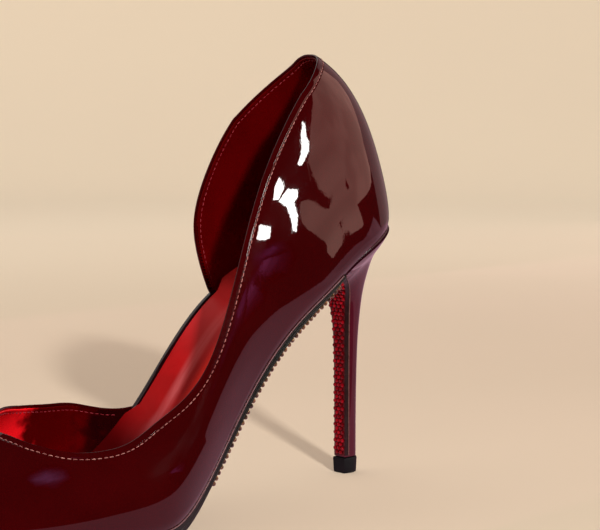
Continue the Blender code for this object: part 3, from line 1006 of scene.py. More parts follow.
# The lips are real ridges of the cover; their pale colour is a painted highlight.
BREAST_LIP = Waxed("breast_lip", (0.11, 0.045, 0.042), (0.16, 0.08, 0.075), (0.2, 0.35))
# Pale colour of the tube in the feather edge: a painted highlight line.
FEATHER_HIGHLIGHT = Waxed("feather_highlight", (0.15, 0.075, 0.085), (0.06, 0.025, 0.03), (0.2, 0.35))
BRONZE = Stones("bronze_stones", (0.25, 0.14, 0.055), (0.045, 0.023, 0.009), metal=0.75)
RUBY = Stones("ruby_stones", (0.37, 0.002, 0.009), (0.13, 0.0006, 0.0025), metal=0.45, glaze=0.3)
STITCH = Thread("wine_thread", (0.40, 0.18, 0.17), (0.20, 0.06, 0.06))
RED_STITCH = Thread("red_thread", (0.30, 0.035, 0.05), (0.2, 0.012, 0.02))
PALE_PAPER = Paper("pale_paper", (0.62, 0.515, 0.395), (0.60, 0.495, 0.38))


@dataclass
class Workshop:
    """Where skins become pieces of the shoe.

    Attributes:
        last: Last of the shoe.
        made: Names of the pieces made so far.
    """

    last: Last
    made: list[str] = field(default_factory=list)

    def piece(
        self,
        name: str,
        skin: Skin,
        finish: Finish,
        slot: str,
        stands_for: Sequence[str] = (),
        sharp: float = 40.0,
    ) -> bpy.types.Object:
        """Makes one piece that rides with the shoe.

        Args:
            name: Name of the piece.
            skin: Its faces.
            finish: Its finish.
            slot: Slot of the record that the finish belongs to; not used.
            stands_for: Solids that it is shown for.
            sharp: Angle in degrees from which its edges are sharp.

        Returns:
            The piece.
        """
        mesh = skin.mesh(name, self.last, sharp)
        mesh.materials.append(finish.material())
        piece = bpy.data.objects.new(name, mesh)
        bpy.context.scene.collection.objects.link(piece)
        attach(piece, BODY)
        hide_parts(*stands_for)
        self.made.append(name)
        LOG.info("%s: %d faces in %s", name, len(mesh.polygons), finish.name)
        return piece


@dataclass(frozen=True)
class StitchRow:
    """A row of stitches along a line on a surface, in millimetres.

    Attributes:
        pitch: From one stitch to the next.
        length: Length of one stitch.
        thread: Half the thread's thickness.
        proud: How far the middle of a stitch stands above the leather.
        slip: Largest slip of a stitch along the row, as a share of the pitch.
        seed: Number that the stitches' small differences start from.
    """

    pitch: float = 2.1
    length: float = 1.55
    thread: float = 0.155
    proud: float = 0.1
    slip: float = 0.06
    seed: int = 7

    def sew(self, line: Array, normals: Array) -> Skin:
        """Makes the stitches.

        Args:
            line: Points of the seam.
            normals: Directions out of the leather at those points.

        Returns:
            The stitches as one skin.
        """
        chance = np.random.default_rng(self.seed)
        run = run_along(line)
        count = int((run[-1] - self.length) / self.pitch) + 1
        share = np.array([0.0, 0.12, 0.35, 0.65, 0.88, 1.0])
        lift = np.array([-1.3, 0.2, 1.0, 1.0, 0.2, -1.3]) * self.proud
        size = np.array([0.25, 0.85, 1.0, 1.0, 0.85, 0.25]) * self.thread
        slack = chance.uniform(-self.slip, self.slip, (count, 1)) * self.pitch
        where = self.pitch * np.arange(count)[:, None] + share * self.length + slack
        spots = read_off(where, run, line)
        out = unit(read_off(where, run, normals))
        ahead = unit(np.gradient(spots, axis=1))
        aside = np.cross(ahead, out)
        angle = circle(8)[:, None]
        ring = np.cos(angle) * out[:, :, None] + np.sin(angle) * aside[:, :, None]
        centre = spots + lift[:, None] * out
        skin = Skin()
        marks = np.broadcast_to(chance.uniform(0.0, 1.0, (count, 1, 1)), ring.shape[:-1])
        points = centre[:, :, None] + ring * size[:, None, None]
        skin.grid(points, marks=marks, closed=True, flip=True)
        return skin


@dataclass(frozen=True)
class CutStone:
    """A round, domed cut stone with a flat back, in millimetres.

    Attributes:
        diameter: Across its girdle.
        height: From its back to its table.
        facets: Number of facets round it.
        rings: Shares of the radius and the height, and the turn in facets, of each ring of corners.
        tilt: Largest slant at which one is set, in degrees.
        seed: Number that the stones' small differences start from.
    """

    diameter: float
    height: float
    facets: int = 8
    rings: Rows = ((0.82, 0.0, 0.0), (1.0, 0.36, 0.0), (0.80, 0.74, 0.5), (0.42, 1.0, 0.0))
    tilt: float = 7.0
    seed: int = 11

    def faces(self) -> list[list[int]]:
        """Corner numbers of one stone: straight girdle, triangles up the crown, and the table.

        Returns:
            Corner numbers of each face.
        """
        n, top = self.facets, len(self.rings) - 1
        made = [list(range(top * n, (top + 1) * n))]
        for ring, (low, high) in enumerate(zip(self.rings, self.rings[1:])):
            for i in range(n):
                a, b = ring * n + i, ring * n + (i + 1) % n
                c, d = b + n, a + n
                if low[2] == high[2]:
                    made.append([a, b, c, d])
                elif low[2] < high[2]:
                    made += [[a, b, d], [b, c, d]]
                else:
                    made += [[a, b, c], [a, c, d]]
        return made

    def set_in(self, spots: Array, normals: Array, ahead: Array) -> Skin:
        """Sets a stone at each spot.

        Args:
            spots: Places of the stones' backs.
            normals: Directions out of the bed.
            ahead: One direction along the bed for each spot.

        Returns:
            All the stones as one skin.
        """
        chance = np.random.default_rng(self.seed)
        count = len(spots)
        lean = math.tan(math.radians(self.tilt))
        out = unit(normals + lean * chance.uniform(-1.0, 1.0, (count, 3)))
        first = unit(np.cross(out, ahead))
        second = np.cross(out, first)
        spin = chance.uniform(0.0, 2 * np.pi, (count, 1))
        rings = []
        for radius, height, turn in self.rings:
            angle = spin + 2 * np.pi * (np.arange(self.facets) + turn) / self.facets
            wide, deep = np.cos(angle)[..., None], np.sin(angle)[..., None]
            flat = wide * first[:, None] + deep * second[:, None]
            ring = spots[:, None] + flat * radius * self.diameter / 2
            rings.append(ring + height * self.height * out[:, None])
        skin = Skin()
        skin.copies(np.concatenate(rings, axis=1), self.faces(), chance.uniform(0.0, 1.0, count))
        return skin


@dataclass
class Sheet:
    """One part of the upper's outside as ribs of points, from the sole up to the top edge.

    Attributes:
        side: Side of the foot.
        points: Points, by rib and row.
        normals: Directions out of the leather.
    """

    side: Side
    points: Array
    normals: Array


@dataclass
class Upper:
    """Vamp, quarters and lining with their rolled top edge and their stitching.

    Attributes:
        shop: Workshop.
        wing_corner: Place where the inner wing starts.
        rows: Rows of points up a wall.
        ribs: Ribs round half the heel, on the outer side, on the wing, at the throat, in front of
            it, and round the toe.
        throat_run: Length over which the ribs crowd towards the throat.
        quarter_ribs: Ribs of the inner heel quarter.
        patent_wall: Thickness of the patent leather.
        lining_start: Depth at which the lining starts under the outside.
        lining_wall: Depth at which it ends.
        lining_drop: How far its edge stays under the rolled edge.
        seam: Distance of the outer stitch row from the edge.
        lining_seam: Distance of the inner stitch row from the edge.
        seam_ends: Points of the edge that the stitch rows leave free at each end.
        roll_steps: Steps round the rolled edge.
        foot_roll: Inset and drop of the points that round the leather's foot down to the sole.
    """

    shop: Workshop
    wing_corner: float = 116.5
    rows: int = 46
    ribs: tuple[int, ...] = (49, 128, 74, 34, 34, 26)
    throat_run: float = 14.0
    quarter_ribs: int = 92
    patent_wall: float = 0.9
    lining_start: float = 0.92
    lining_wall: float = 1.6
    lining_drop: float = 0.7
    seam: float = 2.3
    lining_seam: float = 2.0
    seam_ends: int = 5
    roll_steps: int = 8
    foot_roll: Rows = ((0.03, 0.12), (0.14, 0.24), (0.34, 0.31), (0.7, 0.31))

    def __post_init__(self) -> None:
        """Works out the three sheets and the top edge that runs round them."""
        last = self.shop.last
        heel_ribs, side_ribs, wing_ribs, throat_ribs, front_ribs, toe_ribs = self.ribs
        turn = np.linspace(0.0, last.turn_path, heel_ribs)[:-1]
        crowd = (1.0 - np.linspace(0.0, 1.0, throat_ribs)) ** 2
        fine = last.throat_place - self.throat_run * crowd
        front = np.linspace(last.throat_place, last.place_of(last.toe_turn), front_ribs)[1:]
        tip = np.sin(np.linspace(0.0, HALF_TURN, toe_ribs))[1:]
        tip = tip * (last.toe_end - last.toe_turn) + front[-1]
        ahead = np.concatenate([fine, front, tip])
        side = np.linspace(last.turn_path, fine[0], side_ribs)[:-1]
        wing = np.linspace(self.wing_corner, fine[0], wing_ribs)[:-1]
        self.outer = self.side_sheet(Side.OUTER, np.concatenate([turn, side, ahead]))
        self.wing = self.side_sheet(Side.INNER, np.concatenate([wing, ahead]))
        self.quarter = self.quarter_sheet()
        free = len(front) + len(tip)
        self.share_normals(self.outer.normals[-free:, -1], self.wing.normals[-free:, -1])
        self.share_normals(self.outer.normals[0], self.quarter.normals[0])
        self.outer_free = len(self.outer.points) - free
        self.wing_free = len(self.wing.points) - free
        self.follow_top_edge()

    @staticmethod
    def share_normals(first: Array, second: Array) -> None:
        """Gives two edges that meet the same normals."""
        both = unit(first + second)
        first[:], second[:] = both, both

    def side_sheet(self, side: Side, places: Array) -> Sheet:
        """Sheet of ribs at given places, each up to the top edge.

        Args:
            side: Side of the foot.
            places: Places of the ribs round the foot.

        Returns:
            The sheet.
        """
        last = self.shop.last
        top = last.turn_at(places, last.top_rise(side, places))
        turn = top[:, None] * np.linspace(0.0, 1.0, self.rows + 1)
        place = np.broadcast_to(places[:, None], turn.shape)
        points = last.wall(side, place, last.rise_at(place, turn))
        return Sheet(side, points, last.wall_normals(side, place, turn))

    def quarter_sheet(self) -> Sheet:
        """Sheet of the inner heel quarter, with ribs that end evenly along its front edge.

        Returns:
            The sheet.
        """
        last = self.shop.last
        rises = np.linspace(last.peak, 0.0, 500)
        edge = np.stack([last.curve["quarter_edge"](rises), rises], axis=-1)
        run = run_along(edge)
        share = np.linspace(0.0, 1.0, self.quarter_ribs)
        tips = read_off(share * run[-1], run, edge)
        feet = np.stack([share * edge[-1, 0], np.zeros_like(share)], axis=-1)
        back = last.turn_at(0.0, last.peak) * np.linspace(0.0, 1.0, self.rows + 1)
        climb = last.rise_at(0.0, back) / last.peak
        spots = feet[:, None] + (tips - feet)[:, None] * climb[None, :, None]
        place, rise = spots[..., 0], spots[..., 1]
        normals = last.wall_normals(Side.INNER, place, last.turn_at(place, rise))
        return Sheet(Side.INNER, last.wall(Side.INNER, place, rise), normals)

    def follow_top_edge(self) -> None:
        """Joins the free edges: up the quarter, along the outer side, back along the wing."""
        runs = (
            (self.quarter, slice(None, 0, -1)),
            (self.outer, slice(self.outer_free)),
            (self.wing, slice(self.wing_free - 2, None, -1)),
        )
        parts = [(sheet.points[run, -1], sheet.normals[run, -1]) for sheet, run in runs]
        self.edge = np.concatenate([points for points, _ in parts])
        self.edge_normals = np.concatenate([normals for _, normals in parts])
        self.edge_out = unit(np.cross(np.gradient(self.edge, axis=0), self.edge_normals))
        self.quarter_count = len(parts[0][0])

    def to_edge(self, points: Array) -> Array:
        """Distance of points from the top edge.

        Args:
            points: The points.

        Returns:
            The distances.
        """
        flat = points.reshape(-1, 3)
        near = [np.linalg.norm(self.edge[None] - part[:, None], axis=-1).min(axis=1)
                for part in np.array_split(flat, 40)]
        return np.concatenate(near).reshape(points.shape[:-1])

    def shell(self, start: float, end: float, drop: float) -> Skin:
        """Closed wall between two depths under the outside.

        Args:
            start: Depth of its outer face.
            end: Depth of its inner face.
            drop: How far its edge stays under the upper's top edge.

        Returns:
            Skin of the wall, marked with the distance from the top edge.
        """
        skin = Skin()
        edge = self.edge - drop * self.edge_out
        outer_edge = edge[self.quarter_count : self.quarter_count + self.outer_free]
        quarter_edge = edge[self.quarter_count :: -1]
        wing_edge = edge[self.quarter_count + self.outer_free - 1 :][::-1]
        sheets = (self.outer, self.wing, self.quarter)
        for sheet, line in zip(sheets, (outer_edge, wing_edge, quarter_edge)):
            points, normals = sheet.points.copy(), sheet.normals
            points[: len(line), -1] = line
            marks = self.to_edge(sheet.points)
            inner = sheet.side is Side.INNER
            faces = [points - depth * normals for depth in (start, end)]
            skin.grid(faces[0], normals, marks, flip=inner)
            skin.grid(faces[1], -normals, marks, flip=not inner)
            feet = [faces[0][:, 0]]
            if start == 0.0:
                feet += [points[:, 0] - i * normals[:, 0] - d * UP for i, d in self.foot_roll]
            skin.grid(np.stack([*feet, faces[1][:, 0]]), flip=inner)
        corner = [self.wing.points[0] - depth * self.wing.normals[0] for depth in (start, end)]
        skin.grid(np.stack(corner))
        angle = np.linspace(0.0, np.pi, self.roll_steps + 1)[:, None, None]
        radius = (end - start) / 2
        bulge = np.cos(angle) * self.edge_normals + np.sin(angle) * self.edge_out
        roll = edge - (start + radius) * self.edge_normals + radius * bulge
        skin.grid(roll, bulge, flip=True)
        return skin

    def seam_line(self, depth: float, below: float) -> tuple[Array, Array]:
        """Line on one face of the upper, below the top edge.

        Args:
            depth: Depth of the face under the outside.
            below: Distance below the top edge.

        Returns:
            Points of the line and the leather's outward directions there.
        """
        part = slice(self.seam_ends, -self.seam_ends)
        guess = self.edge[part] - below * self.edge_out[part]
        skin = Skin()
        for sheet in (self.outer, self.wing, self.quarter):
            skin.grid(sheet.points)
        tree = BVHTree.FromPolygons(np.concatenate(skin.points).tolist(), skin.faces)
        line = np.array([tree.find_nearest(Vector(point))[0] for point in guess])
        normals = self.edge_normals[part]
        return line - depth * normals, normals

    def build(self) -> None:
        """Makes the leather, the lining and the stitch rows."""
        shop = self.shop
        patent = self.shell(0.0, self.patent_wall, 0.0)
        shop.piece("upper_patent", patent, WINE, "burgundy_patent", ["upper"])
        lining = self.shell(self.lining_start, self.lining_wall, self.lining_drop)
        shop.piece("upper_lining", lining, RED_LINING, "red_leather")
        line, normals = self.seam_line(0.0, self.seam)
        shop.piece("topline_stitches", StitchRow().sew(line, normals), STITCH, "burgundy_patent")
        line, normals = self.seam_line(self.lining_wall, self.lining_seam)
        inside = StitchRow(seed=8).sew(line, -normals)
        shop.piece("lining_stitches", inside, RED_STITCH, "red_leather")


@dataclass
class Footbed:
    """Insole and the strip that binds its bare edge at the open waist.

    Attributes:
        shop: Workshop.
        quarter_corner: Section where the open waist starts.
        wing_corner: Section where it ends.
        ramp: Length over which the waist opens and closes.
        thickness: Thickness of the insole.
        cup: How far the insole turns up at its sides.
        cup_power: How late towards its sides it does so.
        hollow: Depth of its hollow in the middle.
        full_width: Width from which cup and hollow are at their full size.
        tuck: How far its top stays inside the feather edge.
        foot_tuck: How far its underside stays inside it.
        binding: Width of the binding.
        binding_ends: How far the binding starts and ends past the open waist's corners.
        squareness: Power of the binding's rounded outline.
        proud: How far the binding stands out round the insole.
        step: Largest step between sections.
        turn_sections: Sections round the heel and round the toe.
    """

    shop: Workshop
    quarter_corner: float = 66.8
    wing_corner: float = 106.5
    ramp: float = 5.0
    thickness: float = 2.4
    cup: float = 1.5
    cup_power: int = 5
    hollow: float = 0.6
    full_width: float = 40.0
    tuck: float = 0.5
    foot_tuck: float = 2.2
    binding: float = 2.9
    binding_ends: tuple[float, float] = (0.4, 2.0)
    squareness: float = 3.2
    proud: float = 0.3
    step: float = 1.6
    turn_sections: tuple[int, int] = (24, 22)

    def open_share(self, along: float) -> float:
        """How far a section belongs to the open waist, from 0 to 1."""
        start, end = self.quarter_corner - self.ramp, self.wing_corner + self.ramp
        return min(max(min(along - start, end - along) / self.ramp, 0.0), 1.0)

    def insole_ring(self, along: float, columns: int = 40) -> tuple[Array, Array]:
        """Outline of one section of the insole.

        Args:
            along: Section.
            columns: Steps across it.

        Returns:
            Points of the ring, and the share across of each from -1 to 1.
        """
        last = self.shop.last
        bare = self.open_share(along)
        share = np.linspace(-1.0, 1.0, columns + 1)
        sides = []
        for tuck in (self.tuck, self.foot_tuck):
            outer, inner = last.edges(along, -tuck, -tuck - bare * (self.binding - tuck))
            sides.append((outer + inner) / 2 + (inner - outer) / 2 * share)
        across, under = sides
        narrow = min(1.0, (across[-1] - across[0]) / self.full_width)
        turned = np.where(share > 0.0, 1.0 - bare, 1.0) * np.abs(share) ** self.cup_power
        top = self.thickness + narrow * (self.cup * turned - self.hollow * (1.0 - share**2))
        high = last.underside(along, across) + last.plumb(top, along)
        low = last.underside(along, under)
        ring = np.concatenate([
            np.stack([np.full_like(across, -along), across, high], axis=-1),
            np.stack([np.full_like(under, -along), under, low], axis=-1)[::-1],
        ])
        return ring, np.concatenate([share, share[::-1]])

    def stations(self, start: float, end: float) -> Array:
        """Sections from start to end, crowded where the outline turns the heel or the toe.

        Args:
            start: First section.
            end: Last section.

        Returns:
            The sections.
        """
        last = self.shop.last
        parts = []
        if start < last.heel_turn:
            angle = np.linspace(0.0, HALF_TURN, self.turn_sections[0])[:-1]
            parts.append(last.heel_turn - (last.heel_turn - start) * np.cos(angle))
        first, final = max(start, last.heel_turn), min(end, last.toe_turn)
        parts.append(np.linspace(first, final, math.ceil((final - first) / self.step) + 1))
        if end > last.toe_turn:
            angle = np.linspace(0.0, HALF_TURN, self.turn_sections[1])[1:]
            parts.append(last.toe_turn + (end - last.toe_turn) * np.sin(angle))
        return np.concatenate(parts)

    def build_insole(self) -> None:
        """Makes the insole, marked with its share across."""
        last = self.shop.last
        along = self.stations(last.heel_back + self.foot_tuck, last.toe_end - self.foot_tuck)
        rings = [self.insole_ring(float(a)) for a in along]
        skin = Skin()
        points = np.stack([ring for ring, _ in rings])
        skin.grid(points, marks=np.stack([mark for _, mark in rings]), closed=True)
        skin.fan(points[0], True)
        skin.fan(points[-1])
        self.shop.piece("insole_sock", skin, RED_SOCK, "red_leather", ["insole"], sharp=50.0)

    def build_binding(self) -> None:
        """Makes the wrapped binding, a soft strip round the insole's bare edge."""
        last = self.shop.last
        angle, proud = circle(28), self.proud
        wide, tall = (signed_power(x, 2 / self.squareness) for x in (np.cos(angle), np.sin(angle)))
        half, height = (self.binding + proud) / 2, (self.thickness + 2 * proud) / 2
        start, end = self.binding_ends
        rings = []
        for along in np.linspace(self.quarter_corner + start, self.wing_corner + end, 60):
            edge = last.edges(float(along))[1]
            across = edge + proud - half + half * wide
            lift = last.plumb(height * (1.0 + tall) - proud, float(along))
            foot = last.underside(float(along), np.full_like(across, edge))
            rings.append(np.stack([np.full_like(across, -along), across, foot + lift], axis=-1))
        skin = Skin()
        skin.loft(np.stack(rings), flip=True)
        solids = ["insole_binding"]
        self.shop.piece("waist_binding", skin, BINDING, "dark_patent", solids, sharp=60.0)

    def build(self) -> None:
        """Makes both pieces."""
        self.build_insole()
        self.build_binding()


@dataclass
class Sole:
    """Outsole with its bevelled edge, and the stones set under its waist.

    Attributes:
        shop: Workshop.
        footbed: Footbed, for its sections.
        start: Section where the sole starts at the heel's breast.
        welt: How far it stands out from the feather edge.
        bevel: Size of its bevelled edges.
        groove: Shares of the edge's height, and depths, of the groove that runs round it.
        stones_start, stones_end: Sections of the first and last row of stones.
        stone_pitch: Distance between stones.
        stone: The stone.
        stone_inset: How far the outermost stones stay inside the feather edge.
        stone_sink: How far the stones are sunk into the sole.
        highlight_tube: Half the thickness of the pale tube in the feather edge, a painted highlight
            line.
        highlight_tube_end: Section where that tube ends, under the toe.
    """

    shop: Workshop
    footbed: Footbed
    start: float = 42.0
    welt: float = 0.4
    bevel: float = 0.3
    groove: Rows = ((0.34, 0.0), (0.40, 0.2), (0.46, 0.2), (0.52, 0.04))
    stones_start: float = 45.5
    stones_end: float = 117.0
    stone_pitch: float = 2.4
    stone: CutStone = CutStone(2.05, 1.7)
    stone_inset: float = 0.75
    stone_sink: float = 0.1
    highlight_tube: float = 0.26
    highlight_tube_end: float = 226.0

    def ring(self, along: float, columns: int = 26) -> Array:
        """Outline of one section of the outsole, with bevels at its four edges.

        Args:
            along: Section.
            columns: Steps across it.

        Returns:
            Points of the ring.
        """
        last = self.shop.last
        outer, inner = last.edges(along, self.welt)
        bevel = min(self.bevel, 0.25 * (inner - outer))
        across = np.linspace(outer + bevel, inner - bevel, columns + 1)
        top, bottom = last.sole_top(along, across), last.sole_bottom(along, across)
        drop = last.plumb(bevel, along)
        fall = bottom - top
        inner_side = [(inner - cut, top[-1] + fall[-1] * share) for share, cut in self.groove]
        outer_side = [(outer + cut, top[0] + fall[0] * share) for share, cut in self.groove]
        points = [
            *zip(across, top),
            (inner, top[-1] - drop), *inner_side, (inner, bottom[-1] + drop),
            *zip(across[::-1], bottom[::-1]),
            (outer, bottom[0] + drop), *outer_side[::-1], (outer, top[0] - drop),
        ]
        return np.array([(-along, y, z) for y, z in points])

    def build_outsole(self) -> None:
        """Makes the outsole."""
        along = self.footbed.stations(self.start, self.shop.last.toe_end + self.welt)
        skin = Skin()
        skin.loft(np.stack([self.ring(float(a)) for a in along]))
        self.shop.piece("black_outsole", skin, BLACK_SOLE, "black_sole", ["outsole"], sharp=32.0)

    def build_feather_highlight(self) -> None:
        """Makes the thin pale tube that fills the feather edge between upper and sole, as a painted
        highlight.
        """
        last, skin = self.shop.last, Skin()
        along = np.linspace(self.start + 1.0, self.highlight_tube_end, 180)
        for side in (0, 1):
            across = np.array([last.edges(float(a), 0.5 * self.welt)[side] for a in along])
            spots = zip(along, across)
            height = np.array([float(last.sole_top(float(a), np.array(y))) for a, y in spots])
            line = np.stack([-along, across, height + 0.5 * self.highlight_tube], axis=-1)
            skin.tube(line, unit(np.cross(np.gradient(line, axis=0), ACROSS)), self.highlight_tube, 8)
        # The pale tube paints a highlight line along the feather edge.
        self.shop.piece("feather_highlight", skin, FEATHER_HIGHLIGHT, "burgundy_patent", sharp=60.0)

    def stone_rows(self) -> tuple[Array, Array, Array]:
        """Places for the stones.

        Returns:
            Spots, directions out of the sole, and directions along it.
        """
        last, step = self.shop.last, 0.4

        def point(a: float, y: float) -> Array:
            """A point on the sole's underside."""
            return np.array([-a, y, float(last.sole_bottom(a, np.array(y)))])

        fine = np.linspace(self.stones_start, self.stones_end, 600)
        height = np.array([float(last.sole_bottom(a, np.array(0.0))) for a in fine])
        run = np.concatenate([[0.0], np.cumsum(np.hypot(np.diff(fine), np.diff(height)))])
        spots, outs, aheads = [], [], []
        for along in np.interp(np.arange(0.0, run[-1], self.stone_pitch), run, fine):
            outer, inner = last.edges(float(along), -self.stone_inset)
            count = int((inner - outer) / self.stone_pitch)
            for across in np.linspace(outer, inner, count + 1):
                ahead = point(along + step, across) - point(along - step, across)
                aside = point(along, across + step) - point(along, across - step)
                spots.append(point(along, across))
                outs.append(np.cross(ahead, -aside))
                aheads.append(ahead)
        outs = unit(np.array(outs))
        outs *= -np.sign(outs[:, 2:])
        return np.array(spots), outs, unit(np.array(aheads))

    def build(self) -> None:
        """Makes the outsole, the painted highlight tube on its edge and its stones."""
        self.build_outsole()
        self.build_feather_highlight()
        spots, outs, aheads = self.stone_rows()
        skin = self.stone.set_in(spots - self.stone_sink * outs, outs, aheads)
        solids = ["waist_stones"]
        self.shop.piece("waist_crystals", skin, BRONZE, "bronze_stones", solids, sharp=10.0)


@dataclass(frozen=True)
class HeelSection:
    """One section of the heel, set by its back and front points seen from the side.

    Attributes:
        back, back_height: Place along the shoe, and height, of its back.
        front, front_height: The same of its front, the breast.
        belly, half_width: Place where it is widest, and half its width there.
        breast: Half the breast's width.
    """

    back: float
    back_height: float
    front: float
    front_height: float
    belly: float
    half_width: float
    breast: float


@dataclass
class Heel:
    """Covered stiletto heel with the sole's thin edge over it, its stones and its tip.

    Attributes:
        shop: Workshop.
        sections: Sections from the tip up to the seat's rim.
        levels: Rings up the heel.
        edge_height: Height of the thin edge between heel and upper.
        edge_inset: How far that edge stays inside the rim.
        rim_fade: How quickly the rim's own line takes over towards the seat.
        stone_pitch: Distance between the breast's stones.
        stone: The stone.
        wrap: How far the bed runs on round the breast's corners.
        lip: Half the thickness of the lips along it.
        breast_span: Levels at which the breast's bed starts and ends.
        breast_steps: Points up the bed.
        bed_proud: How far the bed lies off the heel.
        row_share: Distance between rows of stones, as a share of the pitch.
        stone_lift: How far the stones stand off the breast.
        wrap_steps: Steps round each of the breast's corners.
        side_steps, back_steps, face_steps: Steps on each side, back and breast of a section.
        tip_height: Height of the tip.
        tip_proud: How far the tip stands out.
    """

    shop: Workshop
    sections: Rows = (
        (12.3, 6.8, 20.0, 6.8, 16.0, 3.45, 2.85),
        (12.2, 30.0, 20.1, 30.0, 16.0, 3.5, 2.85),
        (11.7, 50.0, 20.3, 49.5, 16.0, 3.8, 3.0),
        (10.9, 62.0, 20.7, 60.5, 16.2, 4.5, 3.4),
        (9.8, 73.0, 21.5, 68.5, 16.6, 5.9, 4.4),
        (8.2, 83.0, 23.8, 74.5, 17.4, 8.6, 6.8),
        (5.8, 92.0, 29.0, 78.6, 20.0, 12.6, 11.0),
        (3.4, 98.0, 36.0, 80.9, 25.0, 18.4, 17.2),
        (1.9, 101.6, 42.0, 82.3, 30.0, 22.6, 23.4),
    )
    levels: int = 110
    edge_height: float = 1.4
    edge_inset: float = 0.45
    rim_fade: int = 6
    stone_pitch: float = 1.85
    stone: CutStone = CutStone(1.8, 0.95, seed=23)
    wrap: float = 2.0
    lip: float = 0.24
    breast_span: tuple[float, float] = (0.003, 0.93)
    breast_steps: int = 160
    bed_proud: float = 0.06
    row_share: float = 0.87
    stone_lift: float = 0.15
    wrap_steps: int = 4
    side_steps: int = 12
    back_steps: int = 48
    face_steps: int = 10
    tip_height: float = 6.5
    tip_proud: float = 0.2

    def __post_init__(self) -> None:
        """Turns the sections into curves over the level."""
        self.curves = [Curve(list(enumerate(values))) for values in zip(*self.sections)]

    def section(self, level: float) -> HeelSection:
        """Section at a level from 0 at the tip to 1 at the seat's rim."""
        where = level * (len(self.sections) - 1)
        return HeelSection(*[float(curve(where)) for curve in self.curves])

    def ring(
        self, section: HeelSection, inset: float = 0.0, level_height: float | None = None
    ) -> Array:
        """Outline of a section: a straight breast, two sides and a round back.

        Args:
            section: Section of the heel.
            inset: How far the outline is drawn in.
            level_height: One height for all points, if the outline is level.

        Returns:
            Points of the ring.
        """
        power = 2 / self.shop.last.roundness
        half, breast = section.half_width - inset, section.breast - inset
        front, back = section.front - inset, section.back + inset
        share = np.linspace(0.0, 1.0, self.side_steps + 1)[:-1]
        sides = np.stack([
            front + (section.belly - front) * share,
            -(breast + (half - breast) * np.sin(HALF_TURN * share)),
        ], axis=-1)
        angle = np.linspace(0.0, np.pi, self.back_steps + 1)
        depth = (section.belly - back) * np.abs(np.sin(angle)) ** power
        width = -half * signed_power(np.cos(angle), power)
        rounded = np.stack([section.belly - depth, width], axis=-1)
        face = breast * (1.0 - 2.0 * np.linspace(0.0, 1.0, self.face_steps + 1)[1:-1])
        face = np.stack([np.full_like(face, front), face], axis=-1)
        flat = np.concatenate([sides, rounded, sides[::-1] * (1.0, -1.0), face])
        slope = (section.back_height - section.front_height) / (section.front - section.back)
        height = section.front_height + (section.front - flat[:, 0]) * slope
        if level_height is not None:
            height = np.full_like(height, level_height)
        return np.stack([-flat[:, 0], flat[:, 1], height], axis=-1)

    def under_last(self, ring: Array, depth: float) -> Array:
        """A ring moved up or down until it lies at a depth under the last.

        Args:
            ring: Points of the ring.
            depth: The depth.

        Returns:
            The moved ring.
        """
        last = self.shop.last
        moved = ring.copy()
        moved[:, 2] = [float(last.underside(-x, y)) - last.plumb(depth, -x) for x, y, _ in ring]
        return moved

    def build_cover(self) -> None:
        """Makes the covered heel up to its rim, and the thin edge above the rim."""
        seat = self.ring(self.section(1.0))
        rim = self.under_last(seat, GAP + self.edge_height)
        lift = (rim - seat)[:, 2]
        rings = []
        for level in np.linspace(0.0, 1.0, self.levels + 1):
            ring = self.ring(self.section(float(level)))
            ring[:, 2] += lift * level**self.rim_fade
            rings.append(ring)
        skin = Skin()
        skin.loft(np.stack(rings))
        self.shop.piece("heel_cover", skin, HEEL_WINE, "burgundy_patent", ["heel"], sharp=38.0)
        profile = ((0.9, 0.0), (0.15, 0.08), (0.0, 0.25), (0.0, 0.75), (0.15, 0.92), (0.9, 1.0))
        edge = []
        for inset, share in profile:
            ring = self.ring(self.section(1.0), self.edge_inset + inset)
            edge.append(self.under_last(ring, GAP + self.edge_height * (1.0 - share) - 0.1))
        skin = Skin()
        skin.loft(np.stack(edge))
        self.shop.piece("seat_edge", skin, SEAT_EDGE, "black_sole", sharp=50.0)

    def breast_line(self, levels: Array) -> tuple[Array, Array, Array, Array]:
        """Middle line of the breast.

        Args:
            levels: Levels of its points.

        Returns:
            Points, directions out of the breast, directions up it, and half widths.
        """
        sections = [self.section(float(level)) for level in levels]
        points = np.array([(-s.front, 0.0, s.front_height) for s in sections])
        up = unit(np.gradient(points, axis=0))
        out = np.cross(up, ACROSS)
        out *= -np.sign(out[:, :1] + 1e-9)
        return points, out, up, np.array([s.breast for s in sections])

    def breast_wrap(self, level: float, columns: int = 12) -> Array:
        """Line across the breast that runs on round both its corners.

        Args:
            level: Level of the heel.
            columns: Steps across.

        Returns:
            Points just off the heel, from the outer side to the inner side.
        """
        section = self.section(level)
        ring = self.ring(section)
        side = ring[: self.side_steps + 1]
        wrap = np.linspace(self.wrap, 0.0, self.wrap_steps + 1)
        outer = read_off(wrap, run_along(side), side)
        face = np.linspace(-section.breast, section.breast, columns + 1)[1:-1]
        front = np.array([(-section.front, y, section.front_height) for y in face])
        line = np.concatenate([outer, front, outer[::-1] * (1.0, -1.0, 1.0)])
        middle = np.array((-(section.front + section.back) / 2, 0.0, 0.0))
        off = unit((line - middle) * (1.0, 1.0, 0.0))
        return line + self.bed_proud * off

    def build_breast(self) -> None:
        """Makes the breast's bed and stones, its wraps in painted shade, and the cover's two lips
        in a painted highlight.
        """
        levels, turn = np.linspace(*self.breast_span, self.breast_steps), self.wrap_steps
        points, out, up, half = self.breast_line(levels)
        bed = np.stack([self.breast_wrap(float(level)) for level in levels])
        skin = Skin()
        skin.grid(bed[:, turn:-turn])
        self.shop.piece("breast_bed", skin, BREAST_BED, "red_stones")
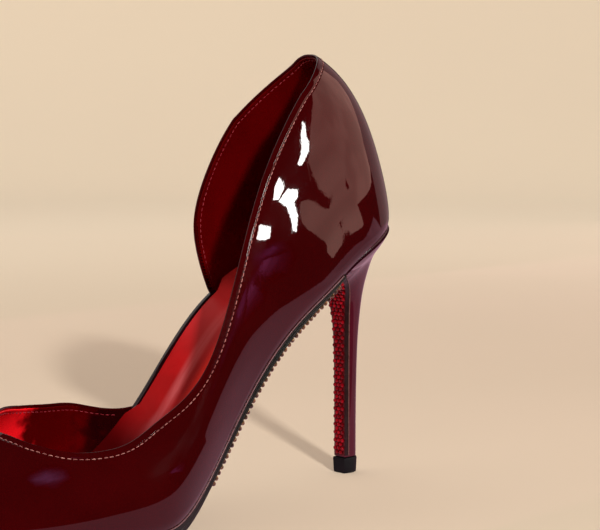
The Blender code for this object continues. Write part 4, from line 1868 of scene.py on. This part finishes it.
        # The bed's wraps round the corners, coloured dark as painted shade of the recess.
        skin = Skin()
        skin.grid(bed[:, : turn + 1])
        skin.grid(bed[:, -turn - 1 :])
        self.shop.piece("breast_recess", skin, BREAST_RECESS, "burgundy_patent")

        run = run_along(points)
        spots, outs, ups = [], [], []
        rows = np.arange(1.2, run[-1] - 1.0, self.stone_pitch * self.row_share)
        for i, where in enumerate(rows):
            centre, normal, ahead = (read_off(where, run, values) for values in (points, out, up))
            room = float(np.interp(where, run, half)) - self.stone.diameter / 2
            count = max(2, int(2 * room / self.stone_pitch + 0.25)) + 1
            places = np.linspace(-room, room, count)
            for across in (places if i % 2 else (places[1:] + places[:-1]) / 2):
                spots.append(centre + (0.0, across, 0.0))
                outs.append(normal)
                ups.append(ahead)
        backs, outs = np.array(spots), np.array(outs)
        skin = self.stone.set_in(backs + self.stone_lift * outs, outs, np.array(ups))
        self.shop.piece("breast_crystals", skin, RUBY, "red_stones", ["breast_stones"], sharp=10.0)

        # The cover's lips, coloured pale as a painted highlight along the breast's corners.
        skin = Skin()
        for line in (bed[:, 0], bed[:, -1]):
            skin.tube(line, out, self.lip, 10)
        self.shop.piece("breast_lips", skin, BREAST_LIP, "burgundy_patent", sharp=60.0)

    def build_tip(self) -> None:
        """Makes the tip, with rounded edges and a smaller foot."""
        section = self.section(0.0)
        profile = (
            (0.55, 0.0), (0.1, 0.25), (0.0, 0.8), (-0.2, self.tip_height - 0.8),
            (-0.1, self.tip_height - 0.2), (0.4, self.tip_height),
        )
        rings = [self.ring(section, inset - self.tip_proud, height) for inset, height in profile]
        skin = Skin()
        skin.loft(np.stack(rings))
        self.shop.piece("heel_tip", skin, TIP_RUBBER, "black_rubber", ["top_piece"], sharp=45.0)

    def build(self) -> None:
        """Makes the heel's pieces."""
        self.build_cover()
        self.build_breast()
        self.build_tip()


@dataclass(frozen=True)
class View:
    """The picture's view of the shoe, on the last's own axes in millimetres.

    Attributes:
        eye: Place of the camera.
        heading: Direction of view from the inner side's across axis, in degrees.
        pitch: Look down, in degrees.
        lens: Focal length.
        sensor: Width of the sensor.
        size: Width and height of the picture in pixels.
    """

    eye: tuple[float, float, float] = (-544.2, -509.6, 155.9)
    heading: float = 44.56
    pitch: float = 5.59
    lens: float = 110.25
    sensor: float = 36.0
    size: tuple[int, int] = (600, 530)

    def look(self) -> Vector:
        """Direction of view."""
        h, p = math.radians(self.heading), math.radians(self.pitch)
        return Vector((math.sin(h) * math.cos(p), math.cos(h) * math.cos(p), -math.sin(p)))

    def ray(self, pixel: tuple[float, float]) -> Vector:
        """Direction of view through one pixel.

        Args:
            pixel: Place in the picture.

        Returns:
            The direction.
        """
        look = self.look()
        right = look.cross(Vector(UP)).normalized()
        up = right.cross(look)
        reach = self.lens / self.sensor * self.size[0]
        aside, above = pixel[0] - self.size[0] / 2, self.size[1] / 2 - pixel[1]
        return (look * reach + right * aside + up * above).normalized()

    def build(self, last: Last) -> None:
        """Sets the camera.

        Args:
            last: Last of the shoe.
        """
        data = bpy.data.cameras.new("photo_view")
        data.lens, data.sensor_width = self.lens, self.sensor
        camera = bpy.data.objects.new("photo_view", data)
        camera.location = last.to_frame(np.array(self.eye))
        camera.rotation_euler = self.look().to_track_quat("-Z", "Y").to_euler()
        bpy.context.scene.collection.objects.link(camera)
        bpy.context.scene.camera = camera


class Mirror:
    """The upper's outer side as the picture shows it, for setting cards by their reflections."""

    def __init__(self, sheet: Sheet, view: View) -> None:
        """Takes the sheet's faces.

        Args:
            sheet: Outer side of the upper.
            view: The picture's view.
        """
        skin = Skin()
        skin.grid(sheet.points)
        self.view, self.faces = view, skin.faces
        self.points, self.normals = sheet.points.reshape(-1, 3), sheet.normals.reshape(-1, 3)
        self.tree = BVHTree.FromPolygons(self.points.tolist(), self.faces)

    def bounce(self, pixel: tuple[float, float]) -> tuple[Vector, Vector]:
        """Follows the view through a pixel to the leather and off it.

        Args:
            pixel: Place in the picture.

        Returns:
            Spot on the leather, and the direction that it mirrors.

        Raises:
            ValueError: If the pixel shows no leather.
        """
        ray = self.view.ray(pixel)
        spot, _, face, _ = self.tree.ray_cast(Vector(self.view.eye), ray)
        if spot is None:
            raise ValueError(f"no leather at {pixel}")
        corners = self.faces[face]
        weight = 1.0 / (np.linalg.norm(self.points[corners] - np.array(spot), axis=1) + TINY)
        normal = Vector(unit(weight @ self.normals[corners]))
        return spot, ray - 2.0 * ray.dot(normal) * normal


@dataclass(frozen=True)
class Card:
    """A lit card that only glossy surfaces show.

    Attributes:
        name: Name of the card.
        light: Colour of its light, with its strength.
        outline: Corners of its reflection in the picture in pixels, if it is set by that.
        distance: Distance from the leather in millimetres.
        soft: Whether its glow fades out towards its edges.
    """

    name: str
    light: Colour
    outline: tuple[tuple[float, float], ...] = ()
    distance: float = 1200.0
    soft: bool = False

    def sheet(self, mirror: Mirror) -> tuple[Array, Array, list[list[int]]]:
        """Surface that gives the card its outline in the picture, on the last's own axes.

        Args:
            mirror: The surface that shows the card.

        Returns:
            Points, their marks from 0 at the rim to 1 at the middle, and triangles between them.
        """
        step = 5.0
        rim = np.array(self.outline, float)
        (left, top), (right, bottom) = rim.min(axis=0), rim.max(axis=0)
        across, down = np.meshgrid(np.arange(left, right, step), np.arange(top, bottom, step))
        spots = [Vector(p) for p in (*rim, *zip(across.flat, down.flat))]
        pixels, _, faces, *_ = delaunay_2d_cdt(spots, [], [list(range(len(rim)))], 1, 0.01)
        used = sorted({corner for face in faces for corner in face})
        bounces = [mirror.bounce(tuple(pixels[corner])) for corner in used]
        points = np.array([spot + self.distance * away for spot, away in bounces])
        share = np.linspace(0.0, 1.0, 20)[:, None, None]
        edge = (rim + share * (np.roll(rim, -1, axis=0) - rim)).reshape(-1, 2)
        inset = np.array([np.linalg.norm(edge - pixels[corner], axis=1).min() for corner in used])
        faces = [[used.index(corner) for corner in face] for face in faces]
        return points, inset / inset.max(), faces

    def material(self) -> Material:
        """Soft, slightly uneven glow of the card.

        Returns:
            The material.
        """
        graph = Graph(self.name)
        strength = graph.spread(graph.noise(6.0, 1.0), *NOISE_CORE, 0.85, 1.1)
        if self.soft:
            wisps = graph.spread(graph.noise(5.0, 3.0), *NOISE_CORE, 0.3, 1.3)
            strength = graph.sum("MULTIPLY", wisps, graph.sum("POWER", graph.mark(), 1.5))
        glow = graph.node("Emission", self.light, strength)
        graph.tree.links.new(glow.outputs[0], graph.tree.nodes["Material Output"].inputs["Surface"])
        return graph.material


@dataclass(frozen=True)
class SoftBox:
    """A soft light aimed at a point of the shoe.

    Attributes:
        name: Name of the light.
        aim: Point that it is aimed at, on the last's own axes in millimetres.
        azimuth: Direction from there, in degrees from the outer side towards the heel.
        elevation: Direction above the horizon, in degrees.
        width, height, distance: Its size and distance in metres.
        radiance, colour: Brightness and colour of the light.
        mirrored: Whether glossy surfaces show it.
        spread: Angle that its light keeps to, in degrees.
    """

    name: str
    aim: tuple[float, float, float]
    azimuth: float
    elevation: float
    width: float
    height: float
    radiance: float
    colour: Colour = (1.0, 1.0, 1.0)
    distance: float = 1.3
    mirrored: bool = True
    spread: float = 180.0

    def build(self, last: Last) -> None:
        """Hangs the light.

        Args:
            last: Last of the shoe.
        """
        away = bearing(self.azimuth, self.elevation)
        data = bpy.data.lights.new(self.name, "AREA")
        data.shape, data.size, data.size_y = "RECTANGLE", self.width, self.height
        half_spread = math.radians(self.spread) / 2
        focus = 1.0 - half_spread / math.tan(half_spread)
        data.energy = self.radiance * focus * math.pi * self.width * self.height
        data.color, data.spread = self.colour, 2 * half_spread
        light = bpy.data.objects.new(self.name, data)
        light.location = Vector(last.to_frame(np.array(self.aim))) + away * self.distance
        light.rotation_euler = (-away).to_track_quat("-Z", "Y").to_euler()
        light.visible_camera, light.visible_glossy = False, self.mirrored
        bpy.context.scene.collection.objects.link(light)


def bearing(azimuth: float, elevation: float) -> Vector:
    """Direction from its azimuth, counted from the outer side towards the heel, and elevation."""
    a, e = math.radians(azimuth), math.radians(elevation)
    return Vector((math.sin(a) * math.cos(e), -math.cos(a) * math.cos(e), math.sin(e)))


WARM = (1.0, 0.97, 0.93)
COUNTER = (-45.0, -25.0, 125.0)
WHITE_GLOW = (30.0, 30.0, 29.0)


@dataclass
class Studio:
    """Pale stage, soft lights, the cards that the leather mirrors, and the camera.

    Attributes:
        last: Last of the shoe.
        mirror: Outer side of the upper, with the picture's view.
        floor_radius: Radius of the flat floor in metres.
        wall_radius, wall_height: Radius of the bend up to the wall, and height of the wall.
        boxes: Soft lights.
        cards: Mirrored cards.
        flag: Corners of the dark flag that keeps the windows off the waist.
        floor_card: Corners, along and across, of the floor that the leather mirrors.
        floor_lift: Height of that floor.
        floor_light: Colour of its light.
        flag_light: Colour of the flag's light.
        ambient: Colour of the dim surroundings.
    """

    last: Last
    mirror: Mirror
    floor_radius: float = 1.9
    wall_radius: float = 0.9
    wall_height: float = 2.6
    flag: tuple[tuple[float, float, float], ...] = (
        (-75, -240, 50), (48, -240, 50), (48, -240, 108), (24, -240, 123),
        (-75, -240, 124),
    )
    floor_card: tuple[tuple[float, float], ...] = (
        (-600, -30), (-90, -104), (40, -100), (110, -158), (180, -208), (300, -228),
        (900, -330), (900, 500), (-600, 500),
    )
    floor_lift: float = 0.5
    floor_light: Colour = (0.49, 0.255, 0.325)
    flag_light: Colour = (0.004, 0.003, 0.003)
    ambient: Colour = (0.020, 0.012, 0.014)
    boxes: tuple[SoftBox, ...] = (
        SoftBox(
            "key_lamp", COUNTER, -27.0, 22.0, 0.13, 0.13, 1150.0, WARM,
            distance=2.2, mirrored=False, spread=95.0,
        ),
        SoftBox(
            "overhead", (-120.0, 0.0, 0.0), 150.0, 72.0, 2.2, 2.0, 0.55, WARM,
            distance=2.2, mirrored=False,
        ),
        SoftBox("back_wall", COUNTER, 101.0, 14.0, 0.95, 1.0, 0.35, (1.0, 0.62, 0.62)),
        SoftBox("inner_box", (-100.0, 20.0, 60.0), 170.0, 38.0, 1.2, 0.8, 0.65, WARM),
        SoftBox("toe_box", (-150.0, 0.0, 40.0), -128.0, 30.0, 0.9, 0.7, 1.0, WARM),
    )
    cards: tuple[Card, ...] = (
        Card("window_tall", WHITE_GLOW, (
            (302, 121.5), (305, 122.5), (306, 134), (308.5, 145), (306, 158), (302, 165.5),
            (298, 164.5), (301, 155), (301.5, 145), (300.5, 135),
        )),
        Card("window_left", WHITE_GLOW, (
            (279, 177.5), (283, 183), (283.5, 190), (279, 199), (273.5, 199.5), (274, 188),
        )),
        Card("window_middle", WHITE_GLOW, (
            (288, 189), (298, 190), (297.5, 198), (294, 204), (298, 216), (297, 231),
            (293, 231), (291, 216), (287, 206), (279, 201),
        )),
        Card("window_small", WHITE_GLOW, (
            (259, 224), (271, 226), (270, 238), (263, 241.5), (256.5, 238),
        )),
        Card("side_wall", (1.35, 0.72, 0.60), (
            (322, 69), (336, 80), (349, 98), (357, 117), (363, 140), (370, 168),
            (371.5, 182), (365, 197), (353, 209), (344, 229), (340, 246), (333, 257),
            (328, 252), (326, 243), (319, 238), (309, 231), (302, 223), (299, 213),
            (300, 203), (308, 200), (319, 206), (329, 211), (335, 208), (328, 198),
            (319, 188), (312, 176), (308, 162), (309, 150), (311, 130), (312, 110),
            (312.5, 95), (314, 80),
        ), distance=900.0),
        Card("sky_card", (0.6, 0.28, 0.75), (
            (22, 476), (46, 464), (66, 470), (72, 480), (56, 490), (34, 488),
        ), soft=True),
        Card("dusk_card", (0.9, 0.2, 0.62), (
            (246, 250), (266, 240), (288, 240), (298, 256), (288, 276), (262, 292),
            (244, 284),
        ), soft=True),
        Card("edge_card", (0.7, 0.16, 0.6), (
            (240, 283), (249, 286), (247, 306), (243, 322), (234, 321), (237, 302),
        ), soft=True),
    )

    def add_stage(self, name: str, skin: Skin, material: Material) -> bpy.types.Object:
        """Makes one piece of the stage.

        Args:
            name: Its name.
            skin: Its faces.
            material: Its material.

        Returns:
            The piece, which casts no shadow.
        """
        mesh = skin.mesh(name, self.last, 60.0)
        mesh.materials.append(material)
        stage = bpy.data.objects.new(name, mesh)
        bpy.context.scene.collection.objects.link(stage)
        stage.visible_shadow = False
        return stage

    def add_card(
        self, card: Card, points: Array, marks: Array | float, faces: list[list[int]]
    ) -> None:
        """Makes a card that only glossy surfaces show.

        Args:
            card: The card.
            points: Its points.
            marks: Their marks.
            faces: Its faces.
        """
        skin = Skin()
        skin.add_points(points, None, marks)
        skin.faces.extend(faces)
        piece = self.add_stage(card.name, skin, card.material())
        piece.visible_camera = piece.visible_diffuse = False

    def build_stage(self) -> None:
        """Makes the round sweep of paper."""
        bend = np.linspace(0.0, HALF_TURN, 24)[1:]
        floor = np.linspace(0.00002, self.floor_radius, 12)
        radius = np.concatenate([floor, self.floor_radius + self.wall_radius * np.sin(bend)])
        height = np.concatenate([0.0 * floor, self.wall_radius * (1.0 - np.cos(bend))])
        radius, height = np.append(radius, radius[-1]), np.append(height, self.wall_height)
        turn = circle(128)
        across, along = np.outer(radius, np.cos(turn)), np.outer(radius, np.sin(turn))
        rings = np.stack([across, along, np.broadcast_to(height[:, None], across.shape)], axis=-1)
        skin = Skin()
        skin.grid(rings / MM - self.last.shift, closed=True)
        self.add_stage("sweep", skin, PALE_PAPER.material()).visible_glossy = False

    def build_cards(self) -> None:
        """Sets the mirrored cards and floor, and the dark flag in front of the windows."""
        for card in self.cards:
            self.add_card(card, *card.sheet(self.mirror))
        floor = [(*corner, self.floor_lift) for corner in self.floor_card]
        for name, light, corners in (
            ("floor_card", self.floor_light, floor), ("dark_flag", self.flag_light, self.flag),
        ):
            self.add_card(Card(name, light), np.array(corners), 1.0, [list(range(len(corners)))])

    def build_lights(self) -> None:
        """Sets the dim surroundings and the soft lights."""
        scene = bpy.context.scene
        scene.view_settings.view_transform = "Standard"
        scene.world = bpy.data.worlds.new("studio")
        scene.world.use_nodes = True
        ground = scene.world.node_tree.nodes["Background"]
        ground.inputs["Color"].default_value = (*self.ambient, 1.0)
        for box in self.boxes:
            box.build(self.last)

    def build(self) -> None:
        """Makes the stage, the lights, the cards and the camera."""
        self.build_stage()
        self.build_lights()
        self.build_cards()
        self.mirror.view.build(self.last)


def find_last() -> Last:
    """The last, placed by the heel tip's solid, which stands evenly about its own middle.

    Returns:
        The last.
    """
    tip_middle = 16.15
    low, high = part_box("top_piece")
    middle = (low + high) / (2 * MM)
    return Last(np.array((middle.x + tip_middle, middle.y, 0.0)))


def main() -> None:
    """Builds the shoe on its solids, then the stage round it."""
    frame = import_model()
    logging.basicConfig(level=logging.INFO, format="%(name)s: %(message)s")
    LOG.info("%d solids in the frame", len(frame["nodes"]))
    shop = Workshop(find_last())
    upper, footbed = Upper(shop), Footbed(shop)
    for part in (upper, footbed, Sole(shop, footbed), Heel(shop)):
        part.build()
    Studio(shop.last, Mirror(upper.outer, View())).build()
    LOG.info("%d pieces", len(shop.made))


if __name__ == "__main__":
    main()
